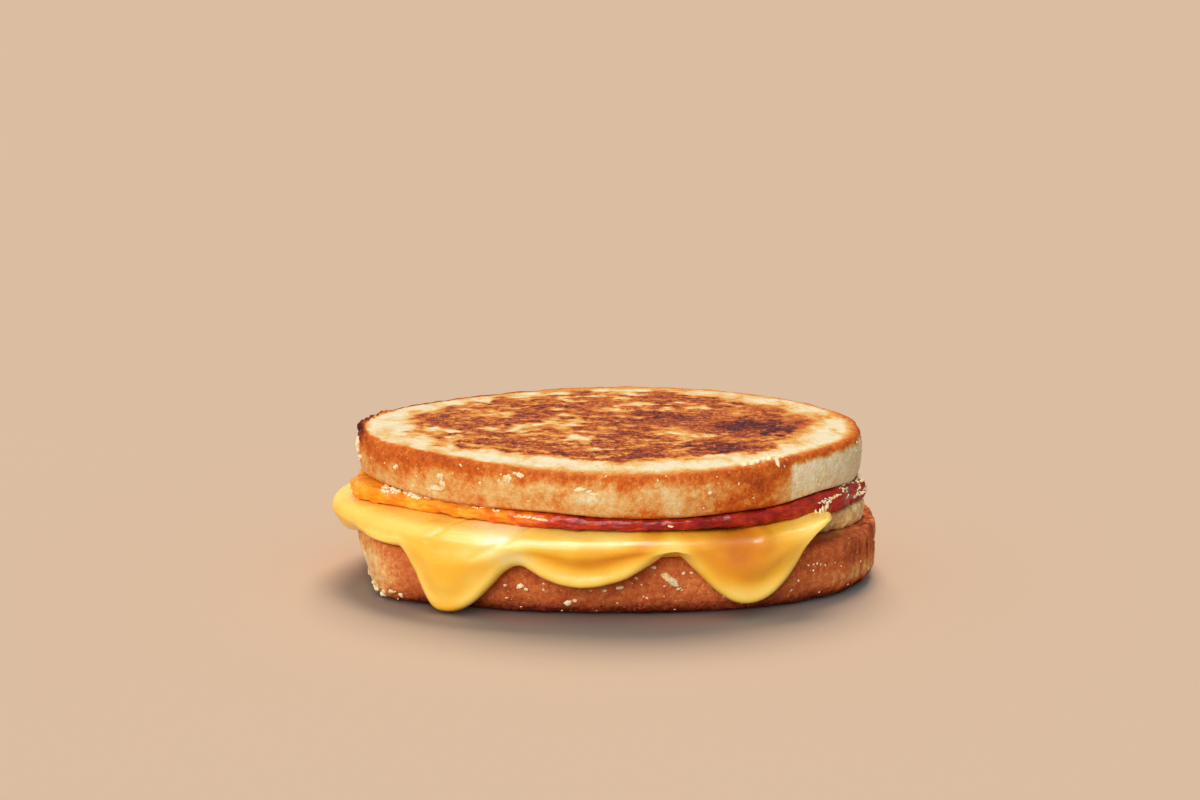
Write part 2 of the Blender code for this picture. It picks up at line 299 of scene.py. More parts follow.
class TurnedBody:
    """A half-section spun round Z and pressed into a plan, with relief and painted fields."""

    def __init__(self, name: str, plan: Oval, rings: Sequence[tuple], counts: Sequence[int]) -> None:
        """Spin the section and lay it out.

        Args:
            name: The piece's name.
            plan: The outline that the turned body is pressed into.
            rings: Controls from the lower middle to the upper middle. Each is a distance out
                and a height, both numbers or one for each station, in millimetres.
            counts: How many samples each stretch between two controls gets.
        """
        self.name = name
        self.plan = plan
        outs = np.stack([np.broadcast_to(ring[0], (STEPS,)) for ring in rings], axis=1)
        levels = np.stack([np.broadcast_to(ring[1], (STEPS,)) for ring in rings], axis=1)
        chords = np.hypot(np.diff(outs, axis=1), np.diff(levels, axis=1)).mean(axis=0)
        knots = np.concatenate(([0.0], np.cumsum(np.sqrt(chords))))
        weights = spline_weights(knots, counts)
        out, height = outs @ weights.T, levels @ weights.T
        out[:, 0] = out[:, -1] = -NOMINAL_RADIUS
        self.out = out
        self.track = np.concatenate(
            [stretch + np.arange(count) / count for stretch, count in enumerate(counts)]
            + [np.array([len(counts)])]
        )
        self.points = np.concatenate(
            (np.stack([plan.place(column) for column in out.T], axis=1), height[..., None]), axis=-1
        )
        self.fields: dict[str, np.ndarray] = {}

    @property
    def shape(self) -> tuple[int, int]:
        """Stations round the body and samples along its section."""
        return self.out.shape

    def normals(self) -> np.ndarray:
        """Outward normals of the laid-out grid."""
        around = np.roll(self.points, -1, axis=0) - np.roll(self.points, 1, axis=0)
        along = np.gradient(self.points, axis=1)
        normal = np.cross(around, along)
        length = np.linalg.norm(normal, axis=-1, keepdims=True)
        return normal / np.maximum(length, 1e-9)

    def emboss(self, relief: np.ndarray) -> None:
        """Move the surface outwards by a relief in millimetres, fading at the two poles."""
        fade = rise(0.0, 4.0, self.out + NOMINAL_RADIUS)
        self.points = self.points + self.normals() * (relief * fade)[..., None]

    def near(self, angle: float, level: float) -> tuple[np.ndarray, np.ndarray]:
        """Find a place on the body's side.

        Args:
            angle: Its plan angle in degrees.
            level: Its height in millimetres.

        Returns:
            The place in millimetres and the outward normal there.
        """
        turn = int(np.argmin(steps_from(angle, 180.0, 180.0)))
        miss = np.abs(self.points[turn, :, 2] - level) + 2.0 * np.maximum(0.0, -3.0 - self.out[turn])
        index = int(np.argmin(miss))
        around = self.points[(turn + 1) % STEPS, index] - self.points[turn - 1, index]
        normal = np.cross(around, self.points[turn, index + 1] - self.points[turn, index - 1])
        return self.points[turn, index], normal / np.linalg.norm(normal)

    def metres(self) -> np.ndarray:
        """The grid's points in the frame, in metres."""
        return (self.points + SHIFT) * MM

    def build(self, material: bpy.types.Material, slot: Slot, *nodes: str) -> bpy.types.Object:
        """Make the mesh, dress it and fit it to the frame.

        Args:
            material: The finish.
            slot: The record's slot of that finish.
            nodes: The CAD nodes that the piece stands for.

        Returns:
            The finished piece.
        """
        mesh = bmesh.new()
        sample = mesh.verts.layers.int.new("sample")
        section = [
            mesh.verts.new((NOMINAL_RADIUS + out, 0.0, level))
            for out, level in zip(self.out[0], self.points[0, :, 2])
        ]
        section[0].co.x = section[-1].co.x = 0.0
        for index, vertex in enumerate(section):
            vertex[sample] = index
        edges = [mesh.edges.new(pair) for pair in zip(section, section[1:])]
        bmesh.ops.spin(
            mesh, geom=section + edges, cent=(0, 0, 0), axis=(0, 0, 1),
            angle=2.0 * math.pi, steps=TURNS, use_merge=True,
        )
        poles = [vertex for vertex in mesh.verts if vertex[sample] in (0, len(section) - 1)]
        bmesh.ops.remove_doubles(mesh, verts=poles, dist=1e-4)
        around = [edge for edge in mesh.edges if edge.verts[0][sample] == edge.verts[1][sample]]
        bmesh.ops.subdivide_edges(mesh, edges=around, cuts=FINER - 1, use_grid_fill=True)
        metres = self.metres()
        turns, samples = [], []
        for vertex in mesh.verts:
            turn = round(math.atan2(vertex.co.y, vertex.co.x) / (2.0 * math.pi) * STEPS) % STEPS
            turns.append(turn)
            samples.append(vertex[sample])
        for vertex, turn, index in zip(mesh.verts, turns, samples):
            vertex.co = metres[turn, index]
        bmesh.ops.recalc_face_normals(mesh, faces=mesh.faces)
        mesh.verts.layers.int.remove(sample)
        piece = add_piece(self.name, mesh, material, slot)
        for name, values in self.fields.items():
            picked = np.broadcast_to(values, self.shape)[turns, samples]
            layer = piece.data.attributes.new(name, "FLOAT", "POINT")
            layer.data.foreach_set("value", picked.astype(np.float32))
        if nodes:
            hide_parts(*nodes)
        return piece


def add_piece(
    name: str, mesh: bmesh.types.BMesh, material: bpy.types.Material, slot: Slot
) -> bpy.types.Object:
    """Turn a bmesh into a smooth-shaded piece that rides on the sandwich.

    Args:
        name: The piece's name.
        mesh: Its mesh in the frame, which is freed here.
        material: Its finish.
        slot: The record's slot of that finish; not used.

    Returns:
        The piece.
    """
    data = bpy.data.meshes.new(name)
    mesh.to_mesh(data)
    mesh.free()
    data.shade_smooth()
    data.materials.append(material)
    piece = bpy.data.objects.new(name, data)
    bpy.context.scene.collection.objects.link(piece)
    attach(piece, BODY)
    return piece


# ---------------------------------------------------------------- shader building


def shade(red: int, green: int, blue: int) -> tuple[float, float, float, float]:
    """A display colour of 0 to 255 as the linear colour that shaders take."""
    def linear(value: int) -> float:
        share = value / 255.0
        return share / 12.92 if share <= 0.04045 else ((share + 0.055) / 1.055) ** 2.4

    return linear(red), linear(green), linear(blue), 1.0


class Graph:
    """Short calls for the nodes of one material or node group."""

    def __init__(self, tree: bpy.types.NodeTree) -> None:
        """Work on a node tree."""
        self.tree = tree

    def node(self, kind: str, **settings: object) -> bpy.types.Node:
        """Add a node and set its properties."""
        made = self.tree.nodes.new(kind)
        for name, value in settings.items():
            setattr(made, name, value)
        return made

    def put(self, value: object, socket: bpy.types.NodeSocket) -> None:
        """Link a socket's output, or set a constant on the socket."""
        if isinstance(value, bpy.types.NodeSocket):
            self.tree.links.new(value, socket)
        elif value is not None:
            socket.default_value = value

    def coordinates(self) -> bpy.types.NodeSocket:
        """Object coordinates, which are the frame's."""
        return self.node("ShaderNodeTexCoord").outputs["Object"]

    def field(self, name: str) -> bpy.types.NodeSocket:
        """A painted field of the mesh."""
        return self.node("ShaderNodeAttribute", attribute_name=name).outputs["Fac"]

    def stretch(
        self, vector: bpy.types.NodeSocket, scale: tuple[float, float, float],
        turn: tuple[float, float, float] = (0.0, 0.0, 0.0),
    ) -> bpy.types.NodeSocket:
        """Scale and turn coordinates."""
        mapping = self.node("ShaderNodeMapping")
        self.put(vector, mapping.inputs["Vector"])
        mapping.inputs["Scale"].default_value = scale
        mapping.inputs["Rotation"].default_value = turn
        return mapping.outputs["Vector"]

    def noise(
        self, vector: bpy.types.NodeSocket, scale: float, detail: float = 2.0,
        roughness: float = 0.5, distortion: float = 0.0,
    ) -> bpy.types.NodeSocket:
        """Smooth noise of 0 to 1, with scale in features for each metre."""
        made = self.node("ShaderNodeTexNoise")
        self.put(vector, made.inputs["Vector"])
        made.inputs["Scale"].default_value = scale
        made.inputs["Detail"].default_value = detail
        made.inputs["Roughness"].default_value = roughness
        made.inputs["Distortion"].default_value = distortion
        return made.outputs["Fac"]

    def span(
        self, value: bpy.types.NodeSocket, low: float, high: float,
        to_low: float = 0.0, to_high: float = 1.0,
    ) -> bpy.types.NodeSocket:
        """Map a range of values smoothly onto another, clamped at its ends."""
        made = self.node("ShaderNodeMapRange", interpolation_type="SMOOTHSTEP")
        self.put(value, made.inputs["Value"])
        made.inputs["From Min"].default_value = low
        made.inputs["From Max"].default_value = high
        made.inputs["To Min"].default_value = to_low
        made.inputs["To Max"].default_value = to_high
        return made.outputs["Result"]

    def math(self, operation: str, first: object, second: object = None, third: object = None) -> bpy.types.NodeSocket:
        """A Math node."""
        made = self.node("ShaderNodeMath", operation=operation)
        for value, socket in zip((first, second, third), made.inputs):
            self.put(value, socket)
        return made.outputs["Value"]

    def ramp(self, value: bpy.types.NodeSocket, stops: Sequence[tuple[float, tuple]]) -> bpy.types.NodeSocket:
        """Colours along a value of 0 to 1."""
        made = self.node("ShaderNodeValToRGB")
        band = made.color_ramp
        while len(band.elements) < len(stops):
            band.elements.new(0.5)
        for element, (place, colour) in zip(band.elements, stops):
            element.position = place
            element.color = colour
        self.put(value, made.inputs["Fac"])
        return made.outputs["Color"]

    def mix(
        self, share: object, first: object, second: object, how: str = "MIX"
    ) -> bpy.types.NodeSocket:
        """Mix two colours."""
        made = self.node("ShaderNodeMix", data_type="RGBA", blend_type=how)
        self.put(share, made.inputs["Factor"])
        self.put(first, made.inputs["A"])
        self.put(second, made.inputs["B"])
        return made.outputs["Result"]

    def bump(self, height: bpy.types.NodeSocket, depth: float, strength: float = 1.0) -> bpy.types.NodeSocket:
        """A bumped normal, with depth in metres."""
        made = self.node("ShaderNodeBump")
        made.inputs["Strength"].default_value = strength
        made.inputs["Distance"].default_value = depth
        self.put(height, made.inputs["Height"])
        return made.outputs["Normal"]


# ---------------------------------------------------------------- shared shader groups


def new_group(
    name: str, inputs: Sequence[tuple[str, str]], outputs: Sequence[tuple[str, str]]
) -> tuple[Graph, bpy.types.Node, bpy.types.Node]:
    """Start a shader node group.

    Args:
        name: Its name.
        inputs: Names and socket types of its inputs.
        outputs: Names and socket types of its outputs.

    Returns:
        The group's graph, its input node and its output node.
    """
    tree = bpy.data.node_groups.new(name, "ShaderNodeTree")
    for label, kind in inputs:
        tree.interface.new_socket(name=label, in_out="INPUT", socket_type=kind)
    for label, kind in outputs:
        tree.interface.new_socket(name=label, in_out="OUTPUT", socket_type=kind)
    graph = Graph(tree)
    return graph, graph.node("NodeGroupInput"), graph.node("NodeGroupOutput")


def make_crumb_grain() -> bpy.types.NodeTree:
    """The fine structure of toasted crumb: grains, finer grit and small open pores."""
    graph, given, made = new_group(
        "crumb_grain",
        (("Vector", "NodeSocketVector"), ("Size", "NodeSocketFloat")),
        (("Grain", "NodeSocketFloat"), ("Grit", "NodeSocketFloat"), ("Pores", "NodeSocketFloat")),
    )
    grain = graph.node("ShaderNodeTexNoise")
    grain.inputs["Detail"].default_value = 2.5
    grain.inputs["Roughness"].default_value = 0.6
    graph.put(given.outputs["Vector"], grain.inputs["Vector"])
    graph.put(given.outputs["Size"], grain.inputs["Scale"])
    grit = graph.node("ShaderNodeTexNoise")
    grit.inputs["Detail"].default_value = 2.0
    graph.put(given.outputs["Vector"], grit.inputs["Vector"])
    graph.put(graph.math("MULTIPLY", given.outputs["Size"], 2.3), grit.inputs["Scale"])
    cell = graph.node("ShaderNodeTexVoronoi")
    graph.put(given.outputs["Vector"], cell.inputs["Vector"])
    graph.put(graph.math("MULTIPLY", given.outputs["Size"], 0.62), cell.inputs["Scale"])
    graph.put(graph.span(grain.outputs["Fac"], 0.28, 0.72), made.inputs["Grain"])
    graph.put(graph.span(grit.outputs["Fac"], 0.3, 0.7), made.inputs["Grit"])
    graph.put(graph.span(cell.outputs["Distance"], 0.1, 0.32, 1.0, 0.0), made.inputs["Pores"])
    return graph.tree


def make_specks() -> bpy.types.NodeTree:
    """Scattered specks: a mask that is 1 on a share of small round spots."""
    graph, given, made = new_group(
        "specks",
        (("Vector", "NodeSocketVector"), ("Size", "NodeSocketFloat"), ("Radius", "NodeSocketFloat")),
        (("Mask", "NodeSocketFloat"),),
    )
    cell = graph.node("ShaderNodeTexVoronoi")
    graph.put(given.outputs["Vector"], cell.inputs["Vector"])
    graph.put(given.outputs["Size"], cell.inputs["Scale"])
    chosen = graph.node("ShaderNodeSeparateColor")
    graph.put(cell.outputs["Color"], chosen.inputs["Color"])
    near = graph.math("LESS_THAN", cell.outputs["Distance"], given.outputs["Radius"])
    some = graph.math("GREATER_THAN", chosen.outputs["Red"], 0.62)
    graph.put(graph.math("MULTIPLY", near, some), made.inputs["Mask"])
    return graph.tree


@dataclass
class SharedEffects:
    """Node groups that several finishes place with their own values."""

    grain: bpy.types.NodeTree = field(default_factory=make_crumb_grain)
    specks: bpy.types.NodeTree = field(default_factory=make_specks)


# ---------------------------------------------------------------- finishes


def new_material(name: str) -> tuple[bpy.types.Material, Graph, bpy.types.Node]:
    """Start a material.

    Args:
        name: Its name.

    Returns:
        The material, its graph and its Principled shader.
    """
    material = bpy.data.materials.new(name)
    material.use_nodes = True
    graph = Graph(material.node_tree)
    return material, graph, material.node_tree.nodes["Principled BSDF"]


def place_group(graph: Graph, group: bpy.types.NodeTree, **inputs: object) -> bpy.types.Node:
    """Place a shared group in a material with its own values."""
    node = graph.node("ShaderNodeGroup", node_tree=group)
    for name, value in inputs.items():
        graph.put(value, node.inputs[name])
    return node


FACE_STOPS = (
    (0.0, shade(246, 228, 190)), (0.12, shade(242, 212, 160)), (0.24, shade(238, 190, 118)),
    (0.36, shade(234, 164, 82)), (0.48, shade(220, 130, 58)), (0.6, shade(190, 92, 46)),
    (0.72, shade(164, 72, 40)), (0.86, shade(122, 50, 32)), (1.0, shade(70, 34, 36)),
)
TOP_CRUST_STOPS = (
    (0.0, shade(250, 232, 196)), (0.12, shade(240, 212, 160)), (0.27, shade(234, 180, 108)),
    (0.38, shade(226, 148, 74)), (0.5, shade(214, 104, 34)), (0.62, shade(184, 80, 32)),
    (0.8, shade(116, 44, 24)), (1.0, shade(60, 22, 16)),
)
BOTTOM_CRUST_STOPS = (
    (0.0, shade(248, 222, 172)), (0.15, shade(240, 196, 132)), (0.3, shade(230, 160, 92)),
    (0.42, shade(212, 122, 66)), (0.54, shade(196, 98, 50)), (0.66, shade(170, 78, 42)),
    (0.82, shade(116, 42, 26)), (1.0, shade(62, 22, 16)),
)


def dim(stops: Sequence[tuple[float, tuple]], light: float) -> list[tuple[float, tuple]]:
    """Colour stops for a surface that gets more light than a white card beside it would."""
    return [(place, tuple(part / light for part in colour[:3]) + (1.0,)) for place, colour in stops]


@dataclass(frozen=True)
class ToastFinish:
    """Pan-toasted bread, whose painted fields say how dark, how scorched and how crusty."""

    name: str
    crust_stops: tuple[tuple[float, tuple], ...] = TOP_CRUST_STOPS
    grain_size: float = 1.5 * MM
    streak_size: float = 1.7 * MM
    smooth_grain: float = 0.13
    scorched_grain: float = 0.38
    roughness: float = 0.85
    relief: float = 0.12 * MM
    specks: float = 1.5 * MM
    face_light: float = 1.36
    side_light: float = 1.05

    def material(self, shared: SharedEffects) -> bpy.types.Material:
        """Build the material.

        Args:
            shared: The shared node groups.

        Returns:
            The material.
        """
        material, graph, shader = new_material(self.name)
        place = graph.coordinates()
        toast, crust, scorch = (graph.field(name) for name in ("toast", "crust", "scorch"))
        crumb = place_group(graph, shared.grain, Vector=place, Size=1.0 / self.grain_size)
        depth = graph.span(scorch, 0.0, 1.0, self.smooth_grain, self.scorched_grain)
        grain = graph.math("SUBTRACT", crumb.outputs["Grain"], 0.5)
        grit = graph.math("SUBTRACT", crumb.outputs["Grit"], 0.5)
        mixed = graph.math("MULTIPLY_ADD", grit, 0.55, grain)
        streaks = graph.noise(graph.stretch(place, (0.3, 1.0, 1.0)), 1.0 / self.streak_size, 2.5, 0.6)
        drawn = graph.math("MULTIPLY", graph.math("SUBTRACT", streaks, 0.5), scorch)
        tone = graph.math("MULTIPLY_ADD", mixed, depth, graph.math("MULTIPLY_ADD", drawn, 0.75, toast))
        colour = graph.mix(
            crust,
            graph.ramp(tone, dim(FACE_STOPS, self.face_light)),
            graph.ramp(tone, dim(self.crust_stops, self.side_light)),
        )
        speck = place_group(graph, shared.specks, Vector=place, Size=1.0 / self.specks, Radius=0.17)
        pale = graph.math("MULTIPLY", speck.outputs["Mask"], graph.math("MULTIPLY", crust, 0.3))
        graph.put(graph.mix(pale, colour, shade(244, 206, 150)), shader.inputs["Base Color"])
        height = graph.math("MULTIPLY_ADD", crumb.outputs["Pores"], -0.35, mixed)
        graph.put(graph.bump(height, self.relief, 0.8), shader.inputs["Normal"])
        graph.put(
            graph.span(tone, 0.2, 0.9, self.roughness, self.roughness - 0.2),
            shader.inputs["Roughness"],
        )
        shader.inputs["Specular IOR Level"].default_value = 0.04
        return material


@dataclass(frozen=True)
class CheeseFinish:
    """Melted yellow cheese, smooth and a little translucent."""

    name: str = "melted_cheese_finish"
    roughness: float = 0.3
    translucency: float = 0.2
    depth: float = 3.5 * MM
    relief: float = 0.12 * MM

    def material(self, shared: SharedEffects) -> bpy.types.Material:
        """Build the material.

        Args:
            shared: The shared node groups.

        Returns:
            The material.
        """
        material, graph, shader = new_material(self.name)
        place = graph.coordinates()
        cloud = graph.noise(place, 160.0, 3.0)
        fine = graph.noise(place, 900.0, 2.0)
        # The painted field holds the cheese's tone together with its painted shade and painted highlights.
        deep = graph.math("MULTIPLY_ADD", graph.math("SUBTRACT", cloud, 0.5), 0.12, graph.field("deep"))
        stops = (
            (0.0, shade(255, 230, 160)), (0.22, shade(255, 209, 100)), (0.45, shade(252, 185, 50)),
            (0.7, shade(238, 154, 34)), (1.0, shade(218, 124, 26)),
        )
        graph.put(graph.ramp(deep, stops), shader.inputs["Base Color"])
        graph.put(graph.span(cloud, 0.3, 0.7, self.roughness - 0.05, self.roughness + 0.07),
                  shader.inputs["Roughness"])
        height = graph.math("MULTIPLY_ADD", fine, 0.25, cloud)
        graph.put(graph.bump(height, self.relief, 0.4), shader.inputs["Normal"])
        shader.inputs["Subsurface Weight"].default_value = self.translucency
        shader.inputs["Subsurface Radius"].default_value = (1.0, 0.5, 0.12)
        shader.inputs["Subsurface Scale"].default_value = self.depth
        shader.inputs["Specular IOR Level"].default_value = 0.5
        return material


@dataclass(frozen=True)
class TomatoFinish:
    """Moist tomato filling, orange where it is thin and deep red where it is lumpy."""

    name: str = "tomato_finish"
    roughness: float = 0.22
    relief: float = 0.3 * MM

    def material(self, shared: SharedEffects) -> bpy.types.Material:
        """Build the material.

        Args:
            shared: The shared node groups.

        Returns:
            The material.
        """
        material, graph, shader = new_material(self.name)
        place = graph.coordinates()
        pulp = graph.noise(graph.stretch(place, (1.0, 1.0, 2.6)), 420.0, 3.0, 0.6)
        ripe = graph.math("MULTIPLY_ADD", graph.math("SUBTRACT", pulp, 0.5), 0.55, graph.field("ripe"))
        stops = (
            (0.0, shade(255, 186, 72)), (0.2, shade(250, 156, 26)), (0.42, shade(238, 118, 18)),
            (0.62, shade(206, 64, 22)), (0.82, shade(160, 30, 16)), (1.0, shade(108, 18, 12)),
        )
        graph.put(graph.ramp(ripe, stops), shader.inputs["Base Color"])
        graph.put(graph.span(pulp, 0.3, 0.7, self.roughness, self.roughness + 0.16),
                  shader.inputs["Roughness"])
        graph.put(graph.bump(pulp, self.relief, 0.8), shader.inputs["Normal"])
        shader.inputs["Specular IOR Level"].default_value = 0.25
        shader.inputs["Subsurface Weight"].default_value = 0.15
        shader.inputs["Subsurface Radius"].default_value = (1.0, 0.3, 0.1)
        shader.inputs["Subsurface Scale"].default_value = 2.0 * MM
        return material


@dataclass(frozen=True)
class PaleFinish:
    """The pale middle layer: soft, waxy and flecked."""

    name: str = "pale_filling_finish"
    roughness: float = 0.5
    relief: float = 0.25 * MM

    def material(self, shared: SharedEffects) -> bpy.types.Material:
        """Build the material.

        Args:
            shared: The shared node groups.

        Returns:
            The material.
        """
        material, graph, shader = new_material(self.name)
        place = graph.coordinates()
        crumb = place_group(graph, shared.grain, Vector=place, Size=1.0 / (1.6 * MM))
        cloud = graph.noise(place, 180.0, 3.0)
        tone = graph.math("MULTIPLY_ADD", crumb.outputs["Grain"], 0.35, cloud)
        stops = (
            (0.35, shade(196, 126, 56)), (0.6, shade(226, 166, 92)), (0.9, shade(250, 212, 140)),
        )
        graph.put(graph.ramp(tone, stops), shader.inputs["Base Color"])
        graph.put(graph.bump(tone, self.relief, 0.7), shader.inputs["Normal"])
        graph.put(graph.span(cloud, 0.3, 0.7, self.roughness - 0.08, self.roughness + 0.1),
                  shader.inputs["Roughness"])
        return material


@dataclass(frozen=True)
class CrumbFinish:
    """Loose crumbs and flakes, from cream to golden."""

    name: str = "crumb_finish"
    size: float = 2.4 * MM
    relief: float = 0.15 * MM

    def material(self, shared: SharedEffects) -> bpy.types.Material:
        """Build the material.

        Args:
            shared: The shared node groups.

        Returns:
            The material.
        """
        material, graph, shader = new_material(self.name)
        place = graph.coordinates()
        crumb = place_group(graph, shared.grain, Vector=place, Size=1.0 / (0.7 * MM))
        cloud = graph.noise(place, 1.0 / self.size, 2.0)
        tone = graph.math("MULTIPLY_ADD", crumb.outputs["Grain"], 0.25, cloud)
        stops = (
            (0.45, shade(248, 230, 190)), (0.7, shade(240, 210, 158)), (0.85, shade(230, 176, 112)),
            (1.0, shade(212, 128, 66)),
        )
        graph.put(graph.ramp(tone, stops), shader.inputs["Base Color"])
        graph.put(graph.bump(crumb.outputs["Grain"], self.relief, 0.7), shader.inputs["Normal"])
        graph.put(graph.span(cloud, 0.3, 0.7, 0.7, 0.85), shader.inputs["Roughness"])
        shader.inputs["Specular IOR Level"].default_value = 0.1
        return material


@dataclass(frozen=True)
class FrothFinish:
    """Pale froth and lace of boiled-over cheese."""

    name: str = "cheese_froth_finish"
    size: float = 3.0 * MM

    def material(self) -> bpy.types.Material:
        """Build the material."""
        material, graph, shader = new_material(self.name)
        cloud = graph.noise(graph.coordinates(), 1.0 / self.size, 2.0)
        stops = (
            (0.3, shade(255, 240, 206)), (0.55, shade(252, 218, 156)), (0.8, shade(240, 170, 92)),
        )
        graph.put(graph.ramp(cloud, stops), shader.inputs["Base Color"])
        graph.put(graph.span(cloud, 0.3, 0.7, 0.3, 0.45), shader.inputs["Roughness"])
        shader.inputs["Subsurface Weight"].default_value = 0.2
        shader.inputs["Subsurface Radius"].default_value = (1.0, 0.6, 0.3)
        shader.inputs["Subsurface Scale"].default_value = 1.0 * MM
        return material


@dataclass(frozen=True)
class FloorFinish:
    """A plain pale floor."""

    name: str = "floor_finish"
    colour: tuple[float, float, float, float] = shade(220, 190, 162)

    def material(self) -> bpy.types.Material:
        """Build the material."""
        material, graph, shader = new_material(self.name)
        cloud = graph.noise(graph.coordinates(), 3.0, 2.0)
        low = tuple(0.985 * part for part in self.colour[:3]) + (1.0,)
        graph.put(graph.mix(cloud, low, self.colour), shader.inputs["Base Color"])
        shader.inputs["Roughness"].default_value = 1.0
        shader.inputs["Specular IOR Level"].default_value = 0.0
        return material


# ---------------------------------------------------------------- the layers


def round_field(body: TurnedBody) -> np.ndarray:
    """Streak coordinates that follow the oval, in millimetres, for a grid's points."""
    flat = np.ones(body.shape)
    turn = ANGLES[:, None] * flat
    return np.stack((60.0 * np.cos(turn), 60.0 * np.sin(turn), -3.2 * body.out), axis=-1)


def streak_noise(body: TurnedBody, length: float, seed: float) -> np.ndarray:
    """Noise in streaks that follow the crust, and run along X in the middle.

    Args:
        body: The slice.
        length: The streaks' length in millimetres. They are about a third as wide.
        seed: Moves the pattern.

    Returns:
        Values of about -1 to 1 on the grid.
    """
    around = noise_field(round_field(body), length, 2, seed)
    flat = body.points * np.array((0.4, 1.0, 1.0))
    across = noise_field(flat, 0.42 * length, 2, seed + 31.0)
    share = rise(0.22, 0.5, 1.0 + body.out / NOMINAL_RADIUS)
    return blend(across, around, share)


@dataclass(frozen=True)
class Spot:
    """A soft patch on a slice's face, in millimetres: positive is darker, negative paler."""

    x: float
    y: float
    radius_x: float
    radius_y: float
    strength: float

    def at(self, points: np.ndarray, wobble: np.ndarray) -> np.ndarray:
        """The patch's share at points, with a frayed edge."""
        reach = np.hypot((points[..., 0] - self.x) / self.radius_x, (points[..., 1] - self.y) / self.radius_y)
        return self.strength * (1.0 - rise(0.45, 1.25, reach + 0.35 * wobble))


